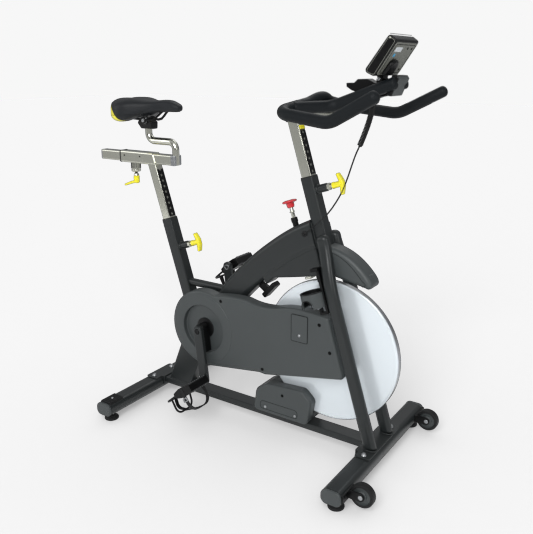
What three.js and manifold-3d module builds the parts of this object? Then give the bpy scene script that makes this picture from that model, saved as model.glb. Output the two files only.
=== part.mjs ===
// Indoor spin bike, as an assembly of separate named solids.
// Millimetres. +X is the front of the bike, +Y the rider's left, +Z up, floor at Z = 0.
// Every sub-part is laid out from the crank axis (X = 0, Z = CRANK_Z); the whole group is then
// moved back by CENTRE_X, so that the origin is under the middle of the bike.
import * as THREE from "three";
import { mergeVertices } from "three/addons/utils/BufferGeometryUtils.js";
import Module from "manifold-3d";

const wasm = await Module();
wasm.setup();

// ---- driving dimensions -------------------------------------------------------------------
const CRANK_Z = 321; // height of the crank axis
const CRANK = 170; // crank arm, axis to pedal spindle
const CRANK_TURN = THREE.MathUtils.degToRad(7); // right arm hangs this far forward of plumb
const LEAN = THREE.MathUtils.degToRad(17.5); // seat tube, head tube and fork lean back
const FIT = 0.3; // air between two pieces that touch
const CENTRE_X = 113; // crank axis to the middle of the bike's length

const FLY = { x: 440, z: 326, r: 222, w: 24 }; // flywheel
const TUBE = 38; // square outer tube of the seat and head tubes
const POST = 32; // square chrome post inside it
const WALL = 2.5; // wall of the steel tubes

const SEAT_TOP = { x: -192, z: 657 }; // mouth of the seat tube, on its axis
const SEAT_TUBE_LENGTH = 335;
const HEAD_TOP = { x: 352, z: 846 }; // mouth of the head tube, on its axis
const HEAD_TUBE_LENGTH = 268;

const STAB = { w: 60, h: 42, z: 46, half: 288, corner: 17 }; // stabiliser section and length
const REAR_X = -257;
const FRONT_X = 608;
const RAIL = { w: 50, h: 22, z: 56 };

const LEG_LINE = { x: 489, z: 460 }; // a point on the fork legs' axis, seen from the side
const LEG = { deep: 38, wide: 30, corner: 12, y: 58, top: 688, cap: 674, bottom: 73 };

const GUARD = { outer: 72, inner: 34, wall: 3.5, r: 130 }; // belt guards
const BELT = { y0: -62, y1: -46, t: 3 };
const PULLEY_R = 110;
const SMALL_PULLEY_R = 28;

// ---- small helpers ------------------------------------------------------------------------
const v2 = (x, y) => new THREE.Vector2(x, y);
const v3 = (x, y, z) => new THREE.Vector3(x, y, z);
const slope = Math.tan(LEAN);
const legX = (z) => LEG_LINE.x + (LEG_LINE.z - z) * slope;

function solid(geometry) {
  if (!(geometry instanceof THREE.BufferGeometry)) return geometry;
  const plain = geometry.clone();
  plain.deleteAttribute("normal");
  plain.deleteAttribute("uv");
  const merged = mergeVertices(plain, 1e-4);
  const vertProperties = new Float32Array(merged.attributes.position.array);
  const triVerts = new Uint32Array(merged.index.array);
  return new wasm.Manifold(new wasm.Mesh({ numProp: 3, vertProperties, triVerts }));
}

function surface(body) {
  if (body instanceof THREE.BufferGeometry) return body;
  const mesh = body.getMesh();
  const geometry = new THREE.BufferGeometry();
  geometry.setAttribute("position", new THREE.BufferAttribute(new Float32Array(mesh.vertProperties), 3));
  geometry.setIndex(new THREE.BufferAttribute(new Uint32Array(mesh.triVerts), 1));
  return geometry;
}

const join = (...parts) => parts.map(solid).reduce((a, b) => a.add(b));
const cut = (body, ...tools) => tools.map(solid).reduce((a, b) => a.subtract(b), solid(body));

// A box between two corners.
function block(x0, x1, y0, y1, z0, z1) {
  const geometry = new THREE.BoxGeometry(x1 - x0, y1 - y0, z1 - z0);
  return geometry.translate((x0 + x1) / 2, (y0 + y1) / 2, (z0 + z1) / 2);
}

// A closed outline whose corners are rounded; each point is [x, y, radius].
function rounded(points) {
  const shape = new THREE.Shape();
  points.forEach(([x, y, r = 0], i) => {
    const before = points[(i + points.length - 1) % points.length];
    const after = points[(i + 1) % points.length];
    const toBefore = v2(before[0] - x, before[1] - y).normalize();
    const toAfter = v2(after[0] - x, after[1] - y).normalize();
    const reach = r / Math.tan(Math.acos(THREE.MathUtils.clamp(toBefore.dot(toAfter), -1, 1)) / 2);
    const start = v2(x, y).addScaledVector(toBefore, reach);
    const end = v2(x, y).addScaledVector(toAfter, reach);
    if (i === 0) shape.moveTo(start.x, start.y);
    else shape.lineTo(start.x, start.y);
    if (r > 0) shape.quadraticCurveTo(x, y, end.x, end.y);
  });
  shape.closePath();
  return shape;
}

const rectangle = (w, h, r) =>
  rounded([[-w / 2, -h / 2, r], [w / 2, -h / 2, r], [w / 2, h / 2, r], [-w / 2, h / 2, r]]);

function circle(r, x = 0, y = 0) {
  const shape = new THREE.Shape();
  shape.absarc(x, y, r, 0, Math.PI * 2, false);
  return shape;
}

// Extrudes an outline drawn in the X-Z plane from y0 to y1.
function sideways(shape, y0, y1, curveSegments = 4) {
  const geometry = new THREE.ExtrudeGeometry(shape, { depth: y1 - y0, bevelEnabled: false, curveSegments });
  return geometry.rotateX(Math.PI / 2).translate(0, y1, 0);
}

// Extrudes an outline upwards from z = 0.
function upwards(shape, height, curveSegments = 3) {
  return new THREE.ExtrudeGeometry(shape, { depth: height, bevelEnabled: false, curveSegments });
}

// A cylinder along Y.
function drum(r, x, z, y0, y1, sides = 24) {
  const geometry = new THREE.CylinderGeometry(r, r, y1 - y0, sides);
  return geometry.translate(x, (y0 + y1) / 2, z);
}

// A turned piece about Y; each profile point is [radius, y].
function turned(profile, x, z, sides = 24) {
  const points = profile.map(([r, y]) => v2(r, y));
  return new THREE.LatheGeometry(points, sides).translate(x, 0, z);
}

// A cylinder between two points.
function rod(from, to, r, sides = 16, r2 = r) {
  const line = to.clone().sub(from);
  const geometry = new THREE.CylinderGeometry(r2, r, line.length(), sides);
  geometry.applyQuaternion(new THREE.Quaternion().setFromUnitVectors(v3(0, 1, 0), line.clone().normalize()));
  const middle = from.clone().add(to).multiplyScalar(0.5);
  return geometry.translate(middle.x, middle.y, middle.z);
}

// Sweeps an outline along a curve.
function sweep(shape, curve, steps, curveSegments = 4) {
  return new THREE.ExtrudeGeometry(shape, { extrudePath: curve, steps, bevelEnabled: false, curveSegments });
}

function polygon(r, sides) {
  const shape = new THREE.Shape();
  for (let i = 0; i < sides; i += 1) {
    const a = ((i + 0.5) / sides) * Math.PI * 2;
    if (i === 0) shape.moveTo(r * Math.cos(a), r * Math.sin(a));
    else shape.lineTo(r * Math.cos(a), r * Math.sin(a));
  }
  shape.closePath();
  return shape;
}

// A path of straight runs whose corners are rounded; each point is [x, y, z, radius].
function bent(points) {
  const path = new THREE.CurvePath();
  let last = v3(...points[0]);
  for (let i = 1; i < points.length - 1; i += 1) {
    const [x, y, z, r] = points[i];
    const corner = v3(x, y, z);
    const back = v3(...points[i - 1]).sub(corner).normalize();
    const on = v3(...points[i + 1]).sub(corner).normalize();
    const reach = r / Math.tan(back.angleTo(on) / 2);
    const start = corner.clone().addScaledVector(back, reach);
    const end = corner.clone().addScaledVector(on, reach);
    path.add(new THREE.LineCurve3(last, start));
    path.add(new THREE.QuadraticBezierCurve3(start, corner, end));
    last = end;
  }
  path.add(new THREE.LineCurve3(last, v3(...points[points.length - 1])));
  return path;
}

// Joins rings of equally many points into one closed skin.
function loft(rings) {
  const n = rings[0].length;
  const position = [];
  const index = [];
  rings.forEach((ring) => ring.forEach((p) => position.push(p.x, p.y, p.z)));
  const ends = [rings[0], rings[rings.length - 1]].map((ring) => {
    const middle = ring.reduce((sum, p) => sum.add(p), v3(0, 0, 0)).multiplyScalar(1 / n);
    position.push(middle.x, middle.y, middle.z);
    return position.length / 3 - 1;
  });
  const last = (rings.length - 1) * n;
  for (let j = 0; j < n; j += 1) {
    const k = (j + 1) % n;
    for (let i = 0; i < rings.length - 1; i += 1) {
      const a = i * n;
      const b = a + n;
      index.push(a + j, a + k, b + k, a + j, b + k, b + j);
    }
    index.push(ends[0], k, j, ends[1], last + j, last + k);
  }
  const geometry = new THREE.BufferGeometry();
  geometry.setAttribute("position", new THREE.Float32BufferAttribute(position, 3));
  geometry.setIndex(index);
  const body = solid(geometry);
  return body.volume() > 0 ? body : solid(flipped(geometry));
}

function flipped(geometry) {
  const turnedOver = geometry.clone();
  const order = Array.from(turnedOver.index.array);
  for (let i = 0; i < order.length; i += 3) [order[i], order[i + 1]] = [order[i + 1], order[i]];
  turnedOver.setIndex(order);
  return turnedOver;
}

// Stands a piece built about the Z axis on a leaning axis through (x, z).
const lean = (geometry, x, z) => surface(geometry).clone().rotateY(-LEAN).translate(x, 0, z);

// Places a piece built about the Z axis so that +Z points along a direction.
function aim(geometry, from, direction) {
  const turn = new THREE.Quaternion().setFromUnitVectors(v3(0, 0, 1), direction.clone().normalize());
  return surface(geometry).clone().applyQuaternion(turn).translate(from.x, from.y, from.z);
}

const mirrored = (body) => flipped(surface(body).clone().scale(1, -1, 1));

// ---- finishes -----------------------------------------------------------------------------
const finish = (color, roughness, metalness) => ({ color, roughness, metalness });
const PAINT = finish(0x3a3f40, 0.45, 0.3);
const PLASTIC = finish(0x3c4244, 0.55, 0);
const BLACK = finish(0x111315, 0.5, 0);
const CHROME = finish(0xb9bab4, 0.22, 1);
const STEEL = finish(0x8d9092, 0.35, 1);
const YELLOW = finish(0xe8df12, 0.4, 0);
const RED = finish(0xc21a26, 0.4, 0);
const FOAM = finish(0x23282c, 0.9, 0);
const SILVER = finish(0xe4ebee, 0.3, 0.5);
const RUBBER = finish(0x17191a, 0.8, 0);

const bike = new THREE.Group();
bike.position.x = -CENTRE_X;

function piece(name, look, body, group = bike) {
  const mesh = new THREE.Mesh(surface(body), new THREE.MeshStandardMaterial(look));
  mesh.name = name;
  group.add(mesh);
  return mesh;
}

function assembly() {
  const group = new THREE.Group();
  bike.add(group);
  return group;
}

// ---- base: stabilisers, rail, plates, feet and transport wheels ------------------------------
const WHEEL = { x: 676, y: 240, z: 50, r: 34, w: 22 };
const FOOT_Y = 263;

function stabiliser(x) {
  const section = rectangle(STAB.w, STAB.h, STAB.corner);
  section.holes.push(rectangle(STAB.w - 2 * WALL, STAB.h - 2 * WALL, STAB.corner - WALL));
  const tube = upwards(section, 2 * STAB.half).rotateX(Math.PI / 2).translate(x, STAB.half, STAB.z);
  const stems = [-FOOT_Y, FOOT_Y].map((y) => rod(v3(x, y, 10), v3(x, y, STAB.z), 5.6, 12));
  return cut(tube, ...stems);
}

// The cap closes the tube's end; at the front it also carries the wheel fork.
function endCap(x, withFork) {
  const cap = upwards(rectangle(STAB.w, STAB.h, STAB.corner), 10).rotateX(Math.PI / 2);
  const spigot = rectangle(STAB.w - 2 * WALL - 1, STAB.h - 2 * WALL - 1, STAB.corner - WALL);
  const plug = upwards(spigot, 13).rotateX(Math.PI / 2);
  const edge = STAB.half + FIT;
  const parts = [cap.translate(x, edge + 10, STAB.z), plug.translate(x, edge + 1, STAB.z)];
  if (withFork) {
    const face = x + STAB.w / 2 + FIT;
    parts.push(block(face, face + 4, WHEEL.y - 20, edge + 4, STAB.z - 9, STAB.z + 13));
    parts.push(block(face - 6, face + 4, edge, edge + 6, STAB.z - 9, STAB.z + 13));
    const arm = rounded([[face, 36, 2], [WHEEL.x + 8, 42, 8], [WHEEL.x + 13, 58, 10], [WHEEL.x - 4, 64, 6],
      [face, 60, 2]]);
    const fork = sideways(arm, WHEEL.y - 17, WHEEL.y + 17);
    const room = drum(WHEEL.r + 3, WHEEL.x, WHEEL.z, WHEEL.y - 12, WHEEL.y + 12, 16);
    const pin = drum(4, WHEEL.x, WHEEL.z, WHEEL.y - 19, WHEEL.y + 19, 12);
    return join(cut(join(...parts, fork), room), pin);
  }
  return join(...parts);
}

function foot(x) {
  const pad = [[0, 0], [23, 0], [23, 5], [15, 12], [5, 13], [5, 38], [0, 38]];
  return turned(pad, 0, 0, 18).rotateX(Math.PI / 2).translate(x, 0, 0);
}

function wheel() {
  const w = WHEEL.w / 2;
  const tyre = [[4.6, -w], [13, -w], [15, -6], [25, -6], [27, -w], [WHEEL.r, -w + 3]];
  const profile = [...tyre, ...tyre.map(([r, y]) => [r, -y]).reverse(), tyre[0]];
  return turned(profile, WHEEL.x, WHEEL.z, 20);
}

// A plate that sits over a stabiliser and folds down behind or in front of it.
function mountPlate(x, halfY, dropX) {
  const top = STAB.z + STAB.h / 2 + FIT;
  const plate = upwards(rectangle(STAB.w - 12, 2 * halfY, 8), 4).translate(x, 0, top);
  const lip = block(dropX - 2, dropX + 2, -halfY + 30, halfY - 30, STAB.z - 8, top + 4);
  const bridge = block(Math.min(x, dropX), Math.max(x, dropX), -halfY + 30, halfY - 30, top, top + 4);
  const boltY = halfY - 16;
  const bolts = [-boltY, boltY].map((y) => rod(v3(x, y, top + 3), v3(x, y, top + 8), 6.5, 6));
  return join(plate, lip, bridge, ...bolts);
}

function addBase() {
  const base = assembly();
  piece("rear_stabiliser", PAINT, stabiliser(REAR_X), base);
  piece("front_stabiliser", PAINT, stabiliser(FRONT_X), base);
  const rearEdge = REAR_X + STAB.w / 2;
  const frontEdge = FRONT_X - STAB.w / 2;
  piece("rear_mount_plate", PAINT, mountPlate(REAR_X, 62, rearEdge + 2 + FIT), base);
  piece("front_mount_plate", PAINT, mountPlate(FRONT_X, 112, frontEdge - 2 - FIT), base);
  const section = rectangle(RAIL.w, RAIL.h, 4);
  section.holes.push(rectangle(RAIL.w - 2 * WALL, RAIL.h - 2 * WALL, 2));
  const start = rearEdge + 5;
  const length = frontEdge - 5 - start;
  const rail = upwards(section, length, 3).rotateZ(Math.PI / 2).rotateY(Math.PI / 2);
  piece("base_rail", PAINT, rail.translate(start, 0, RAIL.z), base);
  for (const [side, s] of [["right", -1], ["left", 1]]) {
    const handed = (body) => (s > 0 ? body : mirrored(body));
    piece(`rear_${side}_end_cap`, PLASTIC, handed(endCap(REAR_X, false)), base);
    piece(`front_${side}_end_cap`, PLASTIC, handed(endCap(FRONT_X, true)), base);
    piece(`rear_${side}_foot`, RUBBER, foot(REAR_X), base).position.y = s * FOOT_Y;
    piece(`front_${side}_foot`, RUBBER, foot(FRONT_X), base).position.y = s * FOOT_Y;
    piece(`${side}_transport_wheel`, RUBBER, wheel(), base).position.y = s * WHEEL.y;
  }
}

// ---- frame: seat tube, rear leg, beam, head tube, fork and bracing ---------------------------
const PIN_SEAT = -99; // pull pin below the mouth of its tube, along the tube
const PIN_HEAD = -40;
const BOSS_LENGTH = 33;
const NUT_LENGTH = 11;

function squareTube(length, grow = 0) {
  return upwards(rectangle(TUBE + 2 * grow, TUBE + 2 * grow, 4), length, 3).translate(0, 0, -length);
}

// A leaning square tube, open at both ends, with the threaded boss of its pull pin.
function outerTube(length, pinAt, at) {
  const bore = upwards(rectangle(POST + 1, POST + 1, 3), length + 2, 3).translate(0, 0, -length - 1);
  const boss = rod(v3(TUBE / 2 - 1, 0, pinAt), v3(TUBE / 2 + BOSS_LENGTH, 0, pinAt), 11, 20);
  const collar = rod(v3(TUBE / 2 - 1, 0, pinAt), v3(TUBE / 2 + 4, 0, pinAt), 15, 20);
  const nutAt = TUBE / 2 + BOSS_LENGTH;
  const nut = rod(v3(nutAt - 1, 0, pinAt), v3(nutAt + NUT_LENGTH, 0, pinAt), 9.5, 6);
  const hole = rod(v3(0, 0, pinAt), v3(90, 0, pinAt), 6, 16);
  return lean(cut(join(squareTube(length), boss, collar, nut), bore, hole), at.x, at.z);
}

const REAR_LEG = [[-204, 68, 3], [-108, 68, 3], [-10, 290, 12], [-96, 330, 12]];
const REAR_LEG_HOLLOW = [[-198, 60, 3], [-113, 60, 3], [-17, 287, 9], [-93, 322, 9]];
const REAR_LEG_HALF = 22;

function rearLeg(grow = 0) {
  return sideways(rounded(REAR_LEG), -REAR_LEG_HALF - grow, REAR_LEG_HALF + grow);
}

function rearLegHollow() {
  return sideways(rounded(REAR_LEG_HOLLOW), WALL - REAR_LEG_HALF, REAR_LEG_HALF - WALL);
}

// Centre line of the main beam, seen from the side, and its depth across that line.
const BEAM_LINE = [
  v3(50, 0, 392), v3(84, 0, 446), v3(175, 0, 540), v3(257, 0, 608), v3(325, 0, 655), v3(392, 0, 690),
];
const BEAM = { deep: 84, half: 31, corner: 16 };
const BRACE = { z: 447, end: 104, r: 12 }; // round tube from the seat tube into the beam

// The beam's outside, shrunk by inset, or grown sideways and across by the two allowances.
function beamBody(sideInset = 0, deepInset = sideInset) {
  const curve = new THREE.CatmullRomCurve3(BEAM_LINE);
  const corner = BEAM.corner - Math.abs(sideInset);
  const section = rectangle(2 * (BEAM.half - sideInset), BEAM.deep - 2 * deepInset, corner);
  return solid(sweep(section, curve, 10, 3));
}

const BRAKE_TOP = { x: 286, z: 768 }; // centre of the tension knob
const BRAKE_TILT = THREE.MathUtils.degToRad(19);
const brakeDown = v3(Math.sin(BRAKE_TILT), 0, -Math.cos(BRAKE_TILT));
const onBrake = (t) => v3(BRAKE_TOP.x, 0, BRAKE_TOP.z).addScaledVector(brakeDown, t);

function gussetOutline() {
  const shape = new THREE.Shape();
  shape.moveTo(222, 505);
  shape.lineTo(250, 531);
  shape.quadraticCurveTo(330, 545, 421, 567);
  shape.lineTo(386, 672);
  shape.lineTo(330, 660);
  shape.lineTo(203, 528);
  shape.closePath();
  return shape;
}

function gussetHollow() {
  const shape = new THREE.Shape();
  shape.moveTo(226, 514);
  shape.lineTo(251, 536);
  shape.quadraticCurveTo(330, 550, 416, 570);
  shape.lineTo(386, 672);
  shape.lineTo(330, 660);
  shape.lineTo(209, 529);
  shape.closePath();
  return shape;
}

function legCurve(s) {
  const at = (z, y) => v3(legX(z), s * y, z);
  const top = TUBE / 2 + LEG.wide / 2 + 0.5;
  return new THREE.CatmullRomCurve3([
    at(LEG.top, top), at(664, top), at(628, top + 5), at(585, LEG.y - 8), at(540, LEG.y - 1.5),
    at(490, LEG.y), at(380, LEG.y), at(230, LEG.y), at(LEG.bottom - 30, LEG.y),
  ]);
}

function forkLeg(s, grow = 0) {
  const section = rectangle(LEG.wide + 2 * grow, LEG.deep + 2 * grow, LEG.corner + grow);
  const leg = sweep(section, legCurve(s), 18, 2);
  return cut(leg, block(400, 800, -200, 200, -50, LEG.bottom));
}

// The inside of a fork leg, which is capped at the top.
function legHollow(s) {
  const section = rectangle(LEG.wide - 2 * WALL, LEG.deep - 2 * WALL, LEG.corner - WALL);
  const inside = sweep(section, legCurve(s), 18, 2);
  return cut(inside, block(300, 600, -200, 200, LEG.cap, 900));
}

function addFrame() {
  const frame = assembly();
  const seatTube = solid(outerTube(SEAT_TUBE_LENGTH, PIN_SEAT, SEAT_TOP));
  const headTube = solid(outerTube(HEAD_TUBE_LENGTH, PIN_HEAD, HEAD_TOP));
  const seatShape = lean(squareTube(SEAT_TUBE_LENGTH + 10, FIT), SEAT_TOP.x, SEAT_TOP.z);
  const headShape = lean(squareTube(HEAD_TUBE_LENGTH + 10, FIT), HEAD_TOP.x, HEAD_TOP.z);
  const brace = rod(v3(-190, 0, BRACE.z), v3(BRACE.end, 0, BRACE.z), BRACE.r, 16);
  const behindSeat = lean(block(-90, TUBE / 2 - 1, -60, 60, -400, 20), SEAT_TOP.x, SEAT_TOP.z);
  piece("seat_tube", PAINT, join(seatTube, cut(brace, behindSeat)), frame);
  piece("head_tube", PAINT, headTube, frame);

  const shellRoom = drum(23 + FIT, 0, CRANK_Z, -60, 60);
  piece("rear_leg", PAINT, cut(rearLeg(), rearLegHollow(), seatShape, shellRoom), frame);
  const shell = [[10.4, -32], [23, -32], [23, 32], [10.4, 32], [10.4, -32]];
  piece("bottom_bracket_shell", STEEL, turned(shell, 0, CRANK_Z), frame);

  const rodHole = rod(onBrake(0), onBrake(300), 9, 16);
  const beyondHead = lean(block(-TUBE / 2 - FIT, 90, -60, 60, -400, 20), HEAD_TOP.x, HEAD_TOP.z);
  const underBeam = block(-100, 200, -60, 60, 200, 372);
  const braceRoom = rod(v3(0, 0, BRACE.z), v3(BRACE.end + 1, 0, BRACE.z), BRACE.r + 2 * FIT, 16);
  const beam = cut(beamBody(), beamBody(WALL), beyondHead, underBeam, rodHole, braceRoom);
  piece("main_beam", PAINT, beam, frame);

  const grownBeam = beamBody(-10, -FIT);
  const gusset = sideways(gussetOutline(), -BEAM.half + 2, BEAM.half - 2, 8);
  const hollow = sideways(gussetHollow(), -BEAM.half + 2 + WALL, BEAM.half - 2 - WALL, 8);
  piece("beam_gusset", PAINT, cut(gusset, hollow, grownBeam, beyondHead, rodHole), frame);

  for (const [side, s] of [["right", -1], ["left", 1]]) {
    piece(`${side}_fork_leg`, PAINT, cut(forkLeg(s), legHollow(s), headShape), frame);
  }
  addStays(frame);
  addCowl(frame, headShape);
}

// Two plates that carry the flywheel's axle from the bottom bracket.
function addStays(frame) {
  const outline = rounded([
    [-34, CRANK_Z - 24, 16], [200, CRANK_Z - 22, 0], [FLY.x + 26, FLY.z - 24, 18],
    [FLY.x + 26, FLY.z + 24, 18], [200, CRANK_Z + 22, 0], [-34, CRANK_Z + 24, 16],
  ]);
  const plates = [-1, 1].map((s) => sideways(outline, Math.min(s * 18, s * 23), Math.max(s * 18, s * 23)));
  const spacer = block(80, 130, -19, 19, CRANK_Z - 18, CRANK_Z + 18);
  const stays = cut(join(...plates, spacer), drum(23 + FIT, 0, CRANK_Z, -60, 60),
    drum(8.5 + FIT, FLY.x, FLY.z, -60, 60, 24), rearLeg(FIT));
  piece("flywheel_stays", STEEL, stays, frame);
}

// The hood over the top of the flywheel, open underneath.
function cowlOutline(inset) {
  const shape = new THREE.Shape();
  const d = inset;
  shape.moveTo(418 + d, 658 - d);
  shape.quadraticCurveTo(500, 656 - 1.2 * d, 562 - d, 586 - d);
  shape.quadraticCurveTo(588 - 1.5 * d, 556, 564 - d, 549);
  shape.quadraticCurveTo(520, 558, 455, 569 + d / 2);
  shape.closePath();
  return shape;
}

function addCowl(frame, headShape) {
  const half = 31;
  const inside = half - 4;
  const outer = sideways(cowlOutline(0), -half, half, 7);
  const mouth = block(470, 560, -inside, inside, 520, 575);
  const inner = join(sideways(cowlOutline(4), -inside, inside, 7), mouth);
  const cowl = cut(outer, inner, headShape, forkLeg(-1, FIT), forkLeg(1, FIT));
  const parts = cowl.decompose().sort((a, b) => b.volume() - a.volume());
  piece("front_cowl", PLASTIC, parts[0], frame);
}

// ---- belt guards ---------------------------------------------------------------------------
// Outline of the guard from the side; grow moves its whole edge outwards.
function guardOutline(grow) {
  const shape = new THREE.Shape();
  const g = grow;
  const r = GUARD.r + g;
  const from = THREE.MathUtils.degToRad(278);
  const to = THREE.MathUtils.degToRad(70);
  shape.moveTo(520 + g, 274 - g);
  shape.lineTo(244, 219 - g);
  shape.lineTo(222, 221 - g);
  shape.absarc(0, CRANK_Z, r, from, to, true);
  shape.quadraticCurveTo(120, 458 + g, 172, 453 + g);
  shape.quadraticCurveTo(232, 437 + g, 290, 452 + g);
  shape.quadraticCurveTo(350, 472 + g, 464 + g, 455 + g);
  shape.closePath();
  return shape;
}

const RECESS = { r: 82, floor: 58 };
const LEFT_R = 112; // round end of the left guard

function guard(outline, outerY) {
  const inner = GUARD.inner;
  const wall = GUARD.wall;
  const inside = sideways(outline(-wall), inner - 1, outerY - wall, 8);
  const shell = cut(sideways(outline(0), inner, outerY, 8), inside);
  return cut(shell, drum(30, 0, CRANK_Z, 0, 90));
}

// The left guard is lower: it covers only the flywheel's stay and the bottom bracket.
function leftOutline(grow) {
  const shape = new THREE.Shape();
  const g = grow;
  const from = THREE.MathUtils.degToRad(278);
  const to = THREE.MathUtils.degToRad(70);
  shape.moveTo(508 + g, 274 - g);
  shape.lineTo(244, 234 - g);
  shape.absarc(0, CRANK_Z, LEFT_R + g, from, to, true);
  shape.quadraticCurveTo(120, 398 + g, 190, 390 + g);
  shape.lineTo(478 + g, 386 + g);
  shape.closePath();
  return shape;
}

function rightGuard() {
  const cup = drum(RECESS.r + 3, 0, CRANK_Z, RECESS.floor - 3, GUARD.outer - 1, 28);
  const recess = drum(RECESS.r, 0, CRANK_Z, RECESS.floor, GUARD.outer + 2, 28);
  const full = cut(join(guard(guardOutline, GUARD.outer), cup), recess, drum(26, 0, CRANK_Z, 0, 90));
  return mirrored(full);
}

function addGuards() {
  const covers = assembly();
  piece("right_belt_guard", PLASTIC, rightGuard(), covers);
  piece("left_belt_guard", PLASTIC, guard(leftOutline, 60), covers);
}

// ---- drive: axle, pulleys, belt, cranks, pedals and flywheel -----------------------------------
function beltOutline(grow) {
  const big = PULLEY_R + grow;
  const small = SMALL_PULLEY_R + grow;
  const dx = FLY.x;
  const dz = FLY.z - CRANK_Z;
  const along = Math.atan2(dz, dx);
  const splay = Math.acos((big - small) / Math.hypot(dx, dz));
  const shape = new THREE.Shape();
  shape.absarc(0, CRANK_Z, big, along + splay, along - splay + 2 * Math.PI, false);
  shape.absarc(FLY.x, FLY.z, small, along - splay, along + splay, false);
  shape.closePath();
  return shape;
}

function addDrive() {
  const crank = assembly();
  const [y0, y1] = [BELT.y0 + 1, BELT.y1 - 1];
  const web = y1 - 5;
  const pulley = [
    [10.3, web - 1], [18, web - 1], [18, web], [92, web], [92, y0], [PULLEY_R, y0], [PULLEY_R, y1],
    [18, y1], [18, y1 + 6], [10.3, y1 + 6], [10.3, web - 1],
  ];
  piece("drive_pulley", STEEL, turned(pulley, 0, CRANK_Z, 28), crank);
  piece("crank_axle", STEEL, drum(10, 0, CRANK_Z, -62.7, 62.7, 24), crank);
  const loop = beltOutline(BELT.t + FIT);
  loop.holes.push(beltOutline(FIT));
  piece("drive_belt", RUBBER, sideways(loop, BELT.y0, BELT.y1, 14), crank);
  const small = [
    [8.8, -64], [30, -64], [30, -62.5], [28, -62], [28, -46], [30, -45.5], [30, -44], [14, -44],
    [14, -30], [8.8, -30], [8.8, -64],
  ];
  piece("flywheel_pulley", STEEL, turned(small, FLY.x, FLY.z, 16), crank);
  piece("flywheel_axle", STEEL, drum(8.5, FLY.x, FLY.z, -66, 40, 24), crank);
  const w = FLY.w / 2;
  const half = [[8.8, -15], [34, -15], [36, -8], [190, -8], [196, -w], [FLY.r, -w]];
  const disc = [...half, ...half.map(([r, y]) => [r, -y]).reverse(), half[0]];
  piece("flywheel", SILVER, turned(disc, FLY.x, FLY.z, 52), crank);
  addCranks(crank);
}

const PEDAL_TURN = THREE.MathUtils.degToRad(144); // the pedals hang cage down
const ARM = { y0: 90, y1: 104, w: 33, tip: 30 };

// Crank arm of the rider's left, hanging down from the origin.
function crankArm() {
  const shape = rounded([
    [-ARM.w / 2, 17, 16], [ARM.w / 2, 17, 16], [ARM.w / 2, -80, 30], [ARM.tip / 2, -CRANK - 16, 14],
    [-ARM.tip / 2, -CRANK - 16, 14], [-ARM.w / 2, -80, 30],
  ]);
  const hub = rounded([[-17, 20, 15], [17, 20, 15], [17, -76, 4], [-17, -76, 4]]);
  const arm = join(sideways(shape, ARM.y0, ARM.y1, 5), sideways(hub, 63, ARM.y0 + 1, 5));
  const bolt = rod(v3(0, ARM.y1 - 1, 0), v3(0, ARM.y1 + 3, 0), 9, 12);
  const spindle = rod(v3(0, ARM.y1 - 2, -CRANK), v3(0, ARM.y1 + 96, -CRANK), 6, 14);
  const collar = rod(v3(0, ARM.y1 - 2, -CRANK), v3(0, ARM.y1 + 7, -CRANK), 10, 14);
  return surface(join(arm, bolt, spindle, collar));
}

// Pedal about its own spindle: toe towards +X, sole side +Z, body out along +Y.
function pedal() {
  const y0 = ARM.y1 + 9;
  const y1 = y0 + 92;
  const body = rounded([[-34, -12, 4], [-20, -15, 4], [20, -15, 4], [48, -8, 4], [48, 8, 4], [20, 15, 4],
    [-20, 15, 4], [-34, 12, 4]]);
  const middle = (y0 + y1) / 2;
  const windows = [-20, 20].map((x) => block(x - 9, x + 9, y0 + 14, y1 - 14, -30, 30));
  const platform = cut(sideways(body, y0, y1, 3), ...windows);
  const wire = polygon(3.6, 5);
  const reach = (y1 - y0) / 2 - 3;
  const cage = bent([[36, middle - reach, 0], [100, middle - reach, 6, 22], [104, middle + reach, 6, 22],
    [36, middle + reach, 0]]);
  const brow = bent([[70, middle - reach, 2], [82, middle - reach + 6, 56, 24],
    [82, middle + reach - 6, 56, 24], [70, middle + reach, 2]]);
  const tongue = bent([[99, middle, 4], [110, middle, 40, 18], [78, middle, 58]]);
  const strap = bent([[6, middle - reach - 3, -6], [6, middle - reach - 3, 70, 32],
    [6, middle + reach + 3, 70, 32], [6, middle + reach + 3, -6]]);
  const band = rectangle(3.4, 13, 1);
  const wires = [sweep(wire, cage, 10), sweep(wire, brow, 9), sweep(wire, tongue, 5)];
  const spine = block(4, 84, middle - 3, middle + 3, 58, 61);
  const bore = rod(v3(0, y0 - 2, 0), v3(0, y0 + 89, 0), 6.4, 16);
  return surface(cut(join(platform, ...wires, sweep(band, strap, 11, 1), spine), bore));
}

function addCranks(crank) {
  for (const [side, s] of [["right", -1], ["left", 1]]) {
    const turn = s > 0 ? Math.PI - CRANK_TURN : -CRANK_TURN;
    const handed = (body) => (s > 0 ? body.clone() : mirrored(body));
    const arm = piece(`${side}_crank_arm`, PAINT, handed(crankArm()), crank);
    arm.position.z = CRANK_Z;
    arm.rotation.y = turn;
    const spindle = v3(0, 0, -CRANK).applyAxisAngle(v3(0, 1, 0), turn);
    const tread = piece(`${side}_pedal`, BLACK, handed(pedal()), crank);
    tread.position.set(spindle.x, 0, CRANK_Z + spindle.z);
    tread.rotation.y = PEDAL_TURN;
  }
}

// ---- magnetic brake --------------------------------------------------------------------------
const CARRIER_PIVOT = { x: 224, z: 100, r: 4 };
const COVER = [[184, 72, 14], [196, 150, 26], [236, 176, 26], [366, 184, 24], [400, 152, 22], [386, 72, 16]];

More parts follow.
